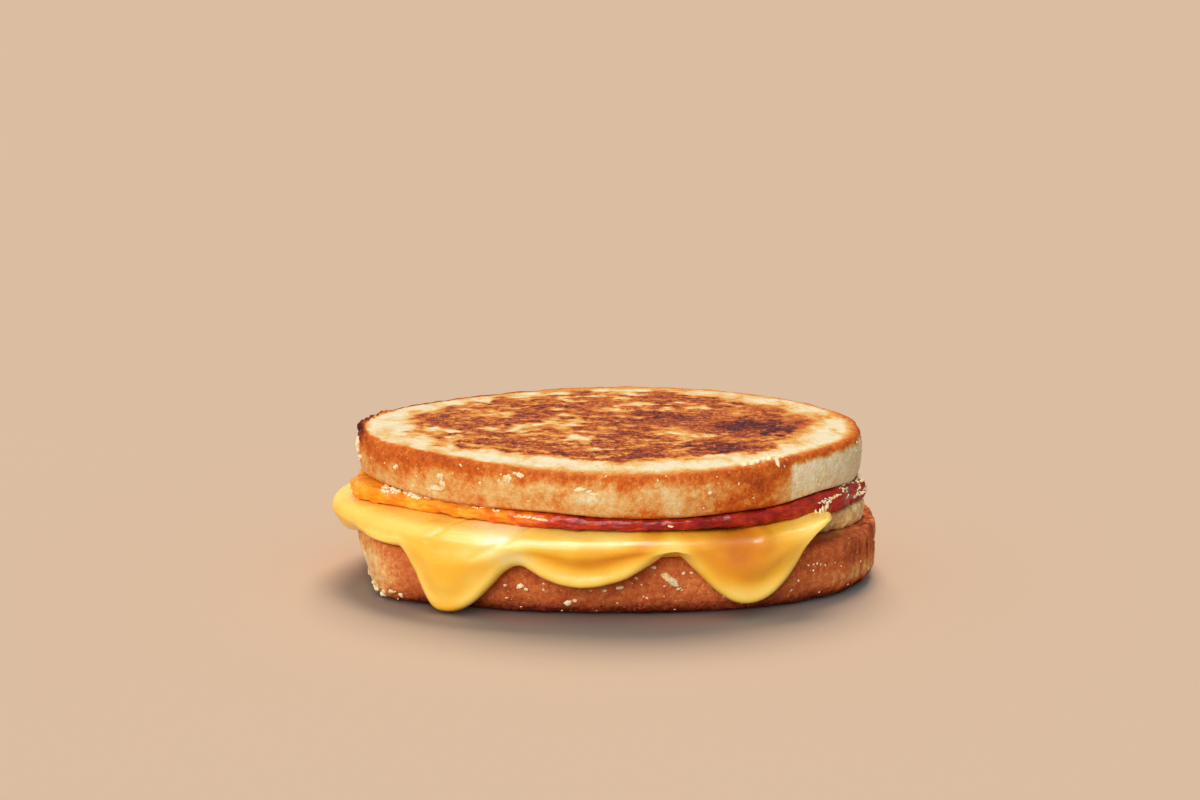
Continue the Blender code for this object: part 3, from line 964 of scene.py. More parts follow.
@dataclass
class TopSlice:
    """The upper slice: a pressed, scorched face in a pale ring, and a tan crust."""

    name: str = "top_slice_toast"
    bulge: float = 0.7
    rim_round: float = 1.5
    face_fall: float = 0.3
    front_fall: float = 2.0
    spots: tuple[Spot, ...] = (
        Spot(-52.0, -5.0, 9.0, 7.0, -0.9), Spot(-13.0, 3.0, 7.0, 9.0, -0.9),
        Spot(10.0, 28.0, 8.0, 5.0, -0.8), Spot(25.0, 27.0, 9.0, 5.0, -0.8),
        Spot(-8.0, -12.0, 7.0, 3.5, -0.7), Spot(-28.0, -1.0, 11.0, 4.5, -0.6),
        Spot(27.0, -9.0, 9.0, 2.6, -0.6), Spot(-36.0, 19.0, 11.0, 7.0, -0.4),
        Spot(2.0, 17.0, 8.0, 5.0, -0.25), Spot(14.0, -2.0, 9.0, 4.0, -0.2),
        Spot(40.0, 0.0, 16.0, 12.0, 0.35), Spot(36.0, -22.0, 16.0, 8.0, 0.35),
        Spot(20.0, 10.0, 14.0, 7.0, 0.25), Spot(-30.0, -17.0, 18.0, 8.0, 0.35),
        Spot(-40.0, 8.0, 10.0, 7.0, 0.35), Spot(2.0, -27.0, 26.0, 7.0, 0.3),
    )
    chars: tuple[Spot, ...] = (
        Spot(42.0, 4.0, 12.0, 8.0, 0.24), Spot(55.0, -5.0, 9.0, 7.0, 0.3),
        Spot(34.0, -22.0, 13.0, 7.0, 0.22), Spot(16.0, 14.0, 12.0, 5.0, 0.14),
    )

    def shape(self) -> TurnedBody:
        """Lay out the slice."""
        plan = STACK.top

        def over(out: float, amount: float) -> tuple[float, np.ndarray]:
            """A ring at a height over the uneven underside."""
            return out, STACK.top_underside(plan.place(out)) + amount

        high = STACK.height
        rim = high - self.front_fall * hill(-86.0, 62.0, 54.0)
        rings = (
            (-NOMINAL_RADIUS, STACK.underside), over(-22.0, 0.0), over(-6.0, 0.0), over(-2.2, 0.05),
            over(-0.7, 0.7), over(0.1, 3.0), (self.bulge, blend(high, rim, 0.5) - 7.5),
            (0.55, rim - 3.4), (0.1, rim - 1.6), (-0.6, rim - 0.65),
            (-self.rim_round - 0.6, rim - self.face_fall - 0.1),
            (-5.5, blend(high, rim, 0.75) - self.face_fall), (-12.0, blend(high, rim, 0.25)),
            (-NOMINAL_RADIUS, high),
        )
        body = TurnedBody(self.name, plan, rings, (4, 5, 4, 4, 6, 12, 12, 6, 4, 3, 6, 9, 42))
        self.roughen(body)
        return body

    def roughen(self, body: TurnedBody) -> None:
        """Press the crumb's relief into the slice."""
        side = rise(3.0, 5.0, body.track) * (1.0 - rise(9.0, 10.5, body.track))
        face = rise(9.5, 11.0, body.track)
        coarse = noise_field(body.points, 6.0, 2, 3.0)
        grain = noise_field(body.points, 1.7, 2, 9.0)
        burnt = hill(176.0, 34.0, 30.0)[:, None] * rise(6.5, 8.0, body.track) * (1.0 - rise(9.6, 10.6, body.track))
        knobs = np.abs(noise_field(body.points, 2.6, 2, 17.0))
        body.emboss(
            side * (0.3 * coarse + 0.09 * grain)
            + face * (0.24 * coarse + 0.12 * grain)
            + burnt * (2.2 * knobs - 0.3)
        )

    def paint(self, body: TurnedBody) -> None:
        """Paint how dark, how scorched and how crusty the slice is."""
        points, inset = body.points, -body.out
        angle = DEGREES[:, None]
        wide = noise_field(points, 16.0, 2, 5.0)
        patch = noise_field(points, 6.0, 2, 11.0)
        mottle = noise_field(points, 2.6, 2, 23.0)
        streak = streak_noise(body, 15.0, 2.0)
        thin = streak_noise(body, 7.0, 8.0)
        face = rise(9.0, 10.0, body.track)
        under = 1.0 - rise(2.4, 4.2, body.track)

        ring = (
            8.5 + 5.0 * np.abs(np.cos(ANGLES)) ** 3 + 3.4 * hill(-86.0, 56.0, 50.0)
            + 1.5 * hill(90.0, 60.0, 60.0) + 2.0 * hill(0.0, 40.0, 40.0) + 3.0 * hill(45.0, 45.0, 50.0)
        )[:, None]
        away = inset - ring + 2.6 * patch + 3.2 * thin + 1.0 * mottle
        spots = sum(spot.at(points, patch + 0.9 * mottle) for spot in self.spots)
        chars = sum(spot.at(points, patch + 0.9 * mottle) for spot in self.chars)
        burn = 0.13 + 0.75 * streak + 0.85 * thin + 0.3 * mottle + 0.25 * wide + spots
        burn = np.minimum(burn, 0.16 * away)
        scorch = rise(-0.16, 0.2, burn)
        back = hill(92.0, 66.0, 66.0)[:, None]
        right = hill(6.0, 60.0, 56.0)[:, None]
        left = hill(186.0, 60.0, 50.0)[:, None]
        across = inset / ring + 0.16 * thin + 0.14 * patch
        cream = 1.0 - rise(-0.9, -0.35, burn)
        pale = 0.06 + 0.16 * patch + 0.12 * mottle + 0.1 * wide
        front = hill(-84.0, 60.0, 58.0)[:, None]
        pale = pale + 0.34 * rise(0.6, 1.05, across) + 0.26 * right * rise(0.4, 0.6, across)
        pale = pale - 0.32 * cream * rise(1.0, 1.2, inset / ring)
        pale = pale + back * (0.16 + 0.3 * thin + 0.2 * patch)
        pale = pale + left * 0.1 * rise(-0.2, 0.3, patch + 0.6 * thin)
        outer = 2.6 + 3.8 * front + 3.6 * right + 6.0 * back + 1.2 * patch
        gold = 1.0 - rise(0.2, 1.0, inset / outer)
        pale = blend(pale, 0.5 - 0.1 * back, gold)
        rim = hill(158.0, 84.0, 40.0)[:, None] ** 0.7 * (1.0 - rise(0.6, 3.4, inset + 1.6 * patch))
        pale = np.clip(pale, 0.0, 0.56) + 0.5 * rim
        dark = 0.66 + 0.12 * wide + 0.16 * thin + 0.1 * mottle + chars
        face_tone = blend(pale, np.clip(dark, 0.5, 0.97), scorch)

        level = (points[..., 2] - STACK.underside) / (STACK.height - STACK.underside)
        frayed = level + 0.05 * patch + 0.03 * mottle
        band = rise(0.52, 0.84, frayed) ** 0.8
        brown = hill(-57.0, 15.0, 13.0, angle + 1.5 * patch)
        cream = rise(-47.6, -45.6, angle + 0.5 * mottle) * (1.0 - rise(58.0, 74.0, angle))
        tan = 0.31 + 0.13 * patch + 0.1 * wide + 0.06 * mottle + 0.12 * (1.0 - rise(0.0, 0.14, level))
        tan = tan + 0.26 * brown + 0.08 * hill(-150.0, 40.0, 40.0, angle) * rise(0.3, 0.6, level)
        torn = hill(-96.0, 6.0, 6.0, angle + 2.0 * patch) * hill(0.4, 0.14, 0.14, level + 0.05 * mottle)
        tan = tan - 0.22 * torn
        side = blend(tan, 0.07 + 0.06 * patch + 0.05 * (1.0 - rise(0.0, 0.3, level)), cream)
        band = band * blend(1.0, rise(0.74, 0.9, frayed), cream)
        side = blend(side, 0.545 + 0.06 * patch + 0.04 * mottle, band)
        burnt = hill(160.0, 84.0, 40.0)[:, None] ** 0.7 * rise(0.68, 0.9, frayed)
        side = side + 0.46 * burnt * (0.9 + 0.8 * patch)
        under_tone = 0.3 + 0.12 * streak + 0.08 * mottle

        tone = blend(blend(side, face_tone, face), under_tone, under)
        body.fields = {
            "toast": np.clip(tone, 0.0, 1.0),
            "crust": (1.0 - face) * (1.0 - under),
            "scorch": face * scorch * (0.35 + 0.65 * rise(0.2, 0.6, face_tone)),
        }

    def build(self, finish: bpy.types.Material) -> bpy.types.Object:
        """Build and dress the slice."""
        self.body = self.shape()
        self.paint(self.body)
        return self.body.build(finish, Slot.TOP, "top_slice")


@dataclass
class BottomSlice:
    """The lower slice: a reddish-brown crust that darkens to the foot, blunt at the left."""

    name: str = "bottom_slice_toast"
    heel: float = 3.4
    foot_taper: float = 5.0

    def side(self, level: float) -> np.ndarray:
        """How far the side stands outside the plan at a height."""
        foot = 1.0 - level / STACK.bottom_top
        return self.heel * hill(217.0, 17.0, 20.0) - self.foot_taper * foot * hill(186.0, 34.0, 26.0)

    def shape(self) -> TurnedBody:
        """Lay out the slice."""
        top = STACK.bottom_top

        def ring(inset: float, level: float) -> tuple[np.ndarray, float]:
            """A ring of the side."""
            return self.side(level) - inset, level

        rings = (
            (-NOMINAL_RADIUS, 0.0), (-14.0, 0.0), ring(6.0, 0.0), ring(3.9, 0.15), ring(2.3, 1.0),
            ring(0.7, 3.4), ring(0.0, 7.5), ring(0.1, 13.0), ring(0.3, 16.0), ring(0.9, 17.2),
            ring(2.2, top), (-7.0, top), (-16.0, top), (-NOMINAL_RADIUS, top),
        )
        body = TurnedBody(self.name, STACK.bottom, rings, (6, 4, 3, 4, 7, 10, 12, 7, 4, 4, 6, 8, 6))
        side = rise(2.5, 4.5, body.track) * (1.0 - rise(9.5, 10.8, body.track))
        coarse = noise_field(body.points, 6.5, 2, 41.0)
        grain = noise_field(body.points, 1.8, 2, 47.0)
        ribs = noise_field(body.points * np.array((1.0, 1.0, 0.2)), 2.0, 2, 53.0)
        right = hill(-8.0, 30.0, 46.0)[:, None]
        left = hill(208.0, 22.0, 26.0)[:, None] * (1.0 - rise(0.0, 7.0, body.points[..., 2]))
        self.ribs = right * ribs
        body.emboss(
            side * (0.32 * coarse + 0.2 * grain + right * 0.7 * ribs + left * 1.1 * grain)
            + rise(10.0, 11.5, body.track) * (0.2 * coarse + 0.15 * grain)
        )
        body.points[..., 2] = np.maximum(body.points[..., 2], 0.0)
        return body

    def paint(self, body: TurnedBody) -> None:
        """Paint how dark, how scorched and how crusty the slice is."""
        points = body.points
        angle = DEGREES[:, None]
        patch = noise_field(points, 6.0, 2, 61.0)
        mottle = noise_field(points, 2.4, 2, 67.0)
        wide = noise_field(points, 16.0, 2, 71.0)
        streak = streak_noise(body, 15.0, 12.0)
        thin = streak_noise(body, 7.0, 18.0)
        under = 1.0 - rise(2.6, 3.6, body.track)
        top = rise(10.2, 11.0, body.track)

        level = points[..., 2] / STACK.bottom_top
        side = 0.55 + 0.07 * patch + 0.04 * mottle + 0.05 * wide
        side = side + 0.28 * (1.0 - rise(0.0, 0.36, level + 0.05 * patch))
        right = hill(-20.0, 34.0, 50.0, angle)
        tan = right * (1.0 - rise(0.05, 0.32, np.abs(level - 0.34 - 0.1 * patch)))
        # Painted shade and painted highlight along the right end's ribs: their grooves are painted darker and their
        # crests paler.
        side = side + 0.06 * right - 0.28 * tan - 0.36 * self.ribs
        left = hill(200.0, 30.0, 30.0, angle)
        left_tone = 0.02 + 0.14 * patch + 0.28 * rise(0.5, 0.85, level + 0.08 * patch)
        side = blend(side, left_tone + 0.25 * rise(0.1, 0.45, mottle) * (1.0 - rise(0.1, 0.5, level)), left)
        ring = (10.0 + 4.0 * np.abs(np.cos(ANGLES)) ** 3)[:, None]
        scorch = rise(-1.0, 2.4, -body.out - ring + 2.6 * patch + 1.6 * thin)
        dark = 0.62 + 0.16 * wide + 0.17 * streak + 0.18 * thin
        face_tone = blend(0.14 + 0.08 * patch + 0.3 * (1.0 - rise(4.0, 8.0, -body.out)), dark, scorch)
        tone = blend(blend(side, 0.42 + 0.12 * patch - 0.06 * right, top), face_tone, under)
        body.fields = {
            "toast": np.clip(tone, 0.0, 1.0),
            "crust": 1.0 - under,
            "scorch": under * scorch + 0.15 * (1.0 - under),
        }

    def build(self, finish: bpy.types.Material) -> bpy.types.Object:
        """Build and dress the slice."""
        self.body = self.shape()
        self.paint(self.body)
        return self.body.build(finish, Slot.BOTTOM, "bottom_slice")


@dataclass
class MiddleLayer:
    """The thick pale layer under the melted sheet."""

    name: str = "middle_layer_filling"
    setback: float = 9.0
    right_reach: float = 5.6

    def side(self) -> np.ndarray:
        """How far the side stands outside the bottom slice's plan."""
        return self.right_reach * hill(0.0, 50.0, 50.0) - self.setback

    def build(self, finish: bpy.types.Material) -> bpy.types.Object:
        """Build and dress the layer."""
        low, high = STACK.bottom_top + 0.05, STACK.middle_top
        side = self.side()
        rings = (
            (-NOMINAL_RADIUS, low), (-20.0, low), (side - 1.2, low), (side - 0.1, low + 1.2),
            (side, 0.5 * (low + high)), (side - 0.3, high - 1.2), (side - 1.5, high),
            (-20.0, high), (-NOMINAL_RADIUS, high),
        )
        body = TurnedBody(self.name, STACK.bottom, rings, (4, 3, 3, 4, 4, 3, 3, 4))
        wall = rise(1.5, 2.5, body.track) * (1.0 - rise(5.5, 6.5, body.track))
        body.emboss(
            wall * (0.5 * noise_field(body.points, 4.0, 2, 77.0) + 0.4 * noise_field(body.points, 1.6, 2, 79.0))
        )
        return body.build(finish, Slot.MIDDLE, "middle_layer")


@dataclass(frozen=True)
class Drip:
    """One run of cheese over the side: angles in degrees, lengths in millimetres."""

    centre: float
    tip: float
    before: float
    after: float
    belly: float
    valley: float


@dataclass
class MeltedCheese:
    """The melted sheet: a rounded lip, a rolled hem and six drips."""

    name: str = "melted_cheese_sheet"
    drips: tuple[Drip, ...] = (
        Drip(-125.6, 0.6, 13.0, 19.0, 1.5, 0.3),
        Drip(-94.0, 10.4, 18.0, 16.5, 0.3, 1.1),
        Drip(-62.5, 4.2, 17.0, 19.0, 0.8, 0.9),
        Drip(52.0, 12.0, 15.0, 18.0, 0.8, 0.4),
        Drip(104.0, 8.5, 17.0, 20.0, 0.9, 0.4),
        Drip(146.0, 13.5, 14.0, 14.0, 0.6, 0.4),
    )
    arc_hem: float = 18.6
    lobe_hem: float = 15.8
    retract_by: float = 14.0
    lip_drop: float = 4.4
    hem_lean: float = 3.3
    drip_forward: float = 2.0
    sheet: float = 2.1
    bead: float = 0.5
    clearance: float = 0.12

    def __post_init__(self) -> None:
        """Work out the curves that run round the sheet."""
        shares = [drip_shape(drip.centre, drip.before, drip.after) for drip in self.drips]
        self.drip_share = np.max(shares, axis=0)
        self.belly = sum(drip.belly * share for drip, share in zip(self.drips, shares))
        self.valley = sum(drip.valley * share for drip, share in zip(self.drips, shares))
        self.free = rise(-49.5, -40.0, DEGREES) * (1.0 - rise(24.0, 50.0, DEGREES))
        drawn_in = rise(-42.0, -24.0, DEGREES) * (1.0 - rise(20.0, 50.0, DEGREES))
        lobe = hill(184.0, 26.0, 26.0)
        self.reach = 2.6 * lobe - self.retract_by * drawn_in
        self.top = STACK.cheese_top - 0.9 * hill(-54.0, 22.0, 18.0)
        hem = self.arc_hem - (self.arc_hem - self.lobe_hem) * lobe + 2.4 * hill(-78.5, 18.0, 18.0)
        for drip, share in zip(self.drips, shares):
            hem = hem - (self.arc_hem - drip.tip) * share
        self.rest = STACK.middle_top + self.clearance
        self.hem = blend(hem, self.rest + 0.02, self.free) + 1.3 * hill(-39.0, 5.0, 8.0)
        self.lip = self.top - blend(self.lip_drop, 0.5 * self.sheet, self.free)
        lean = self.hem_lean - self.drip_forward * self.drip_share
        self.hem_out = self.reach - blend(lean, 0.2, self.free)

    def meet(self, other: Oval, out: np.ndarray) -> np.ndarray:
        """Find where another piece's side stands in this sheet's plan.

        Args:
            other: The other piece's plan.
            out: How far its side stands outside that plan, at each station.

        Returns:
            The distance outside this sheet's rim at each station.
        """
        side = other.place(out) - np.array(other.centre)
        turn = np.arctan2(side[:, 1], side[:, 0])
        order = np.argsort(turn)
        radius = np.hypot(side[:, 0], side[:, 1])
        low, high = np.full(STEPS, -40.0), np.full(STEPS, 15.0)
        for _ in range(26):
            middle = 0.5 * (low + high)
            place = STACK.cheese.place(middle) - np.array(other.centre)
            wall = np.interp(
                np.arctan2(place[:, 1], place[:, 0]), turn[order], radius[order], period=2.0 * math.pi
            )
            inside = np.hypot(place[:, 0], place[:, 1]) < wall
            low, high = np.where(inside, middle, low), np.where(inside, high, middle)
        return 0.5 * (low + high)

    def hidden_rings(self, bread: np.ndarray, middle: np.ndarray) -> list[tuple]:
        """Rings of the inside, which hugs the middle layer and the bread.

        Args:
            bread: Where the bread's side stands in this plan.
            middle: Where the middle layer's side stands in this plan.

        Returns:
            Rings from the lower middle to the inner edge of the hem.
        """
        arc = rise(14.5, 17.8, self.hem)
        clear = self.clearance
        bread_top = STACK.bottom_top + clear
        draped = (
            (middle - 3.0, self.rest + 0.0 * arc),
            (middle + clear, self.rest - 0.4 + 0.0 * arc),
            (middle + clear + 0.3, bread_top + 1.0 + 0.0 * arc),
            (bread - 3.2, bread_top + 0.1 + 0.0 * arc),
            (bread + clear - 1.9 * arc - 0.4, blend(bread_top - 0.7, bread_top + 0.02, arc)),
            (bread + clear - 1.0 * arc, np.minimum(self.hem + 1.6, bread_top)),
            (np.maximum(bread + 0.4, self.hem_out - 3.3), self.hem + 0.35 * (1.0 - arc)),
        )
        behind = (16.0, 12.5, 9.5, 7.5, 5.8, 4.2, 2.6)
        return [
            (blend(out, self.reach - back, self.free), blend(level, self.rest, self.free))
            for (out, level), back in zip(draped, behind)
        ]

    def drape_rings(self, bread: np.ndarray) -> list[tuple]:
        """Rings up the outside, from the hem to the lip."""
        rim = STACK.cheese.place(0.0)
        along = np.linalg.norm(np.roll(rim, -1, axis=0) - np.roll(rim, 1, axis=0), axis=1)
        slope = (np.roll(self.hem, -1) - np.roll(self.hem, 1)) / along
        flank = 1.0 / np.sqrt(1.0 + slope**2)
        hem_out = np.maximum(self.hem_out, blend(bread + 1.8, -99.0, self.free > 0.25))
        rings = [(hem_out - 1.4, self.hem + 0.0)]
        for share in (1.0, 0.965, 0.92, 0.86, 0.79, 0.7, 0.6, 0.49, 0.38, 0.27, 0.17, 0.08, 0.0):
            away = (1.0 - share) * (self.lip - self.hem) * flank
            eased = rise(0.0, 1.0, share)
            shaped = rise(0.0, 0.3, share) * (1.0 - self.free)
            relief = (
                self.bead * np.exp(-(((away - 1.6) / 1.5) ** 2))
                - self.valley * np.exp(-(((away - 6.0) / 3.0) ** 2))
                + self.belly * (1.0 - np.exp(-away / 3.5))
            )
            edge = 1.0 - np.sqrt(np.clip(1.0 - (1.0 - np.minimum(1.0, away / 1.1)) ** 2, 0.0, 1.0))
            out = blend(self.reach, hem_out, eased) + relief * shaped - blend(1.0, 0.7, self.free) * edge
            rings.append((out, blend(self.lip, self.hem, share) + 0.0 * edge))
        return rings

    def crown_rings(self) -> list[tuple]:
        """Rings from the lip over the shoulder to the middle of the flat top."""
        rings = []
        for behind, behind_free, drop, drop_free in (
            (0.25, 0.15, 3.4, 0.75), (0.9, 0.4, 2.4, 0.4), (1.9, 0.8, 1.6, 0.18),
            (3.4, 1.5, 1.0, 0.05), (5.5, 3.0, 0.5, 0.0), (9.0, 5.0, 0.15, 0.0),
        ):
            out = self.reach - blend(behind, behind_free, self.free)
            rings.append((out, self.top - blend(drop, drop_free, self.free)))
        rings.append((self.reach - 15.0, blend(self.top, STACK.cheese_top, 0.6)))
        rings.append((-NOMINAL_RADIUS, STACK.cheese_top))
        return rings

    def shape(self, bottom: BottomSlice, middle: MiddleLayer) -> TurnedBody:
        """Lay out the sheet over the pieces that carry it."""
        bread = self.meet(STACK.bottom, bottom.side(11.0))
        inner = self.meet(STACK.bottom, middle.side())
        rings = [
            (-NOMINAL_RADIUS, self.rest), *self.hidden_rings(bread, inner),
            *self.drape_rings(bread), *self.crown_rings(),
        ]
        counts = (3, 2, 2, 2, 2, 2, 2, 3, 2, *((4,) * 12), 3, 3, 3, 3, 3, 3, 4, 5)
        body = TurnedBody(self.name, STACK.cheese, rings, counts)
        self.mould(body)
        return body

    def mould(self, body: TurnedBody) -> None:
        """Add soft unevenness, the folds beside the first drip and the ridge on the third."""
        shown = rise(8.0, 10.0, body.track)
        level = body.points[..., 2]
        angle = DEGREES[:, None]
        soft = noise_field(body.points, 9.0, 2, 83.0)
        ripple = noise_field(body.points * np.array((1.0, 1.0, 1.6)), 3.2, 1, 89.0)
        fold = self.crease(body, (-107.5, 26.0), (-117.5, 18.5), 1.0)
        tuck = self.crease(body, (-125.5, 25.6), (-129.0, 22.0), 0.9)
        ridge = self.crease(body, (-58.0, 25.6), (-58.8, 21.0), 2.2)
        wedge = self.wedge(body)
        body.emboss(
            shown * (0.22 * soft + 0.02 * ripple - 0.35 * fold - 0.4 * tuck + 0.6 * ridge - 0.7 * wedge)
        )

    def wedge(self, body: TurnedBody) -> np.ndarray:
        """The hollow in the middle of the third drip, which narrows downwards."""
        level = body.points[..., 2]
        share = rise(9.0, 25.0, level)
        middle = blend(-61.8, -65.5, share)
        width = blend(1.6, 9.0, share)
        return np.exp(-(((DEGREES[:, None] - middle) / width) ** 2)) * rise(11.0, 20.0, level)

    def crease(
        self, body: TurnedBody, start: tuple[float, float], end: tuple[float, float], width: float
    ) -> np.ndarray:
        """A fold's share on the grid: 1 along its line, 0 away from it.

        Args:
            body: The laid-out sheet.
            start: The angle in degrees and height in millimetres where the fold starts.
            end: The same where it ends.
            width: Half the fold's width in millimetres.

        Returns:
            One share for each point.
        """
        arc = math.radians(1.0) * 58.0
        a = np.array((start[0] * arc, start[1]))
        b = np.array((end[0] * arc, end[1]))
        here = np.stack((DEGREES[:, None] * arc + 0.0 * body.out, body.points[..., 2]), axis=-1)
        share = np.clip(((here - a) @ (b - a)) / ((b - a) @ (b - a)), 0.0, 1.0)
        away = np.linalg.norm(here - (a + share[..., None] * (b - a)), axis=-1)
        return np.exp(-((away / width) ** 2)) * rise(8.0, 10.0, body.track)

    def paint(self, body: TurnedBody) -> None:
        """Paint the cheese's tone. Painted highlights go on the hem's bead, the first drip's upper face and the upper
        lip; painted shade goes in the channel above the hem, over the third drip and in its hollow.
        """
        level = body.points[..., 2]
        angle = DEGREES[:, None]
        away = np.maximum(0.0, level - self.hem[:, None])
        soft = noise_field(body.points, 11.0, 2, 97.0)
        # Painted highlight: the hem's rolled bead is painted paler.
        bead = np.exp(-(((away - 2.0) / 2.8) ** 2)) * (1.0 - self.free[:, None])
        # Painted shade: the hollow above the bead is painted deeper orange, most of all beside the front drips.
        channel_shade = np.exp(-(((away - 7.5) / 3.0) ** 2))
        front_channel_shade = hill(-86.0, 34.0, 22.0, angle) * channel_shade
        # Partly milky cheese and partly painted highlight: the first drip's upper face is painted paler.
        milky_and_highlight = hill(-113.0, 14.0, 14.0, angle) * rise(15.0, 20.0, level)
        tip = hill(-126.0, 10.0, 10.0, angle) * (1.0 - rise(1.5, 6.0, level))
        # Painted shade: the third drip's hollow is painted deeper orange.
        deep = 0.42 + 0.1 * soft + 0.34 * self.wedge(body) + 0.3 * front_channel_shade + 0.26 * tip - 0.16 * bead
        # Painted shade: the whole third drip is painted deeper orange.
        third = hill(-63.0, 17.0, 17.0, angle) * rise(8.0, 14.0, level)
        # Painted highlight: the upper lip, away from the third drip, is painted paler as well.
        deep = deep + 0.22 * third - 0.3 * milky_and_highlight - 0.12 * rise(21.0, 25.0, level) * (1.0 - third)
        body.fields = {"deep": np.clip(deep, 0.0, 1.0)}

    def build(
        self, finish: bpy.types.Material, bottom: BottomSlice, middle: MiddleLayer
    ) -> bpy.types.Object:
        """Build and dress the sheet."""
        self.body = self.shape(bottom, middle)
        self.paint(self.body)
        return self.body.build(finish, Slot.CHEESE, "melted_cheese")


@dataclass
class TomatoLayer:
    """The thin moist layer between the cheese and the top slice."""

    name: str = "tomato_layer_filling"
    chunk: float = 4.2
    stand_out: float = 0.6

    def shape(self, cheese: MeltedCheese) -> TurnedBody:
        """Lay out the layer on the cheese."""
        plan = STACK.top
        reach = (
            self.stand_out + self.chunk * hill(196.0, 14.0, 20.0)
            + 1.8 * hill(-8.0, 10.0, 8.0) + 1.2 * hill(-26.0, 8.0, 8.0)
        )
        base = blend(cheese.top + 0.1, cheese.rest + 0.1, cheese.free)
        roof = STACK.top_underside(plan.place(reach)) - 0.08
        rings = (
            (-NOMINAL_RADIUS, STACK.cheese_top + 0.1), (-16.0, STACK.cheese_top + 0.1),
            (-9.0, blend(base, STACK.cheese_top + 0.1, 0.5)), (reach - 3.0, base),
            (reach - 0.9, base + 0.25), (reach - 0.1, blend(base, roof, 0.28)),
            (reach, blend(base, roof, 0.52)), (reach - 0.2, blend(base, roof, 0.74)),
            (reach - 1.0, roof - 0.25), (reach - 3.0, roof), (-9.0, roof - 0.1),
            (-NOMINAL_RADIUS, STACK.underside - 0.2),
        )
        body = TurnedBody(self.name, plan, rings, (4, 4, 3, 5, 5, 5, 5, 5, 5, 4, 4))
        shown = rise(2.5, 4.0, body.track) * (1.0 - rise(8.4, 9.6, body.track))
        lumpy = (hill(-8.0, 30.0, 26.0) + hill(192.0, 26.0, 26.0))[:, None]
        sheets = noise_field(body.points * np.array((0.3, 0.3, 1.0)), 1.9, 2, 101.0)
        lumps = noise_field(body.points, 3.4, 2, 107.0)
        body.emboss(shown * (0.55 * sheets + 0.3 * lumps + lumpy * (0.9 * np.abs(lumps) + 0.3 * lumps)))
        return body

    def paint(self, body: TurnedBody) -> None:
        """Paint the layer from orange at the left to deep red at the right."""
        angle = DEGREES[:, None]
        patch = noise_field(body.points, 5.0, 2, 113.0)
        front = rise(-128.0, -92.0, angle) * (1.0 - rise(60.0, 130.0, angle))
        ripe = blend(0.24, 0.8, front) + 0.2 * patch
        ripe = ripe + 0.1 * hill(-70.0, 22.0, 14.0, angle)
        body.fields = {"ripe": np.clip(ripe, 0.0, 1.0)}

    def build(self, finish: bpy.types.Material, cheese: MeltedCheese) -> bpy.types.Object:
        """Build and dress the layer."""
        self.body = self.shape(cheese)
        self.paint(self.body)
        return self.body.build(finish, Slot.TOMATO, "tomato_layer")


# ---------------------------------------------------------------- crumbs, froth and strands


@dataclass(frozen=True)
class Lump:
    """A small lump on a body's side: plan angle, height, and size along, up and outwards."""

    angle: float
    level: float
    size: tuple[float, float, float]
    turn: float = 0.0
    lift: float = 0.0


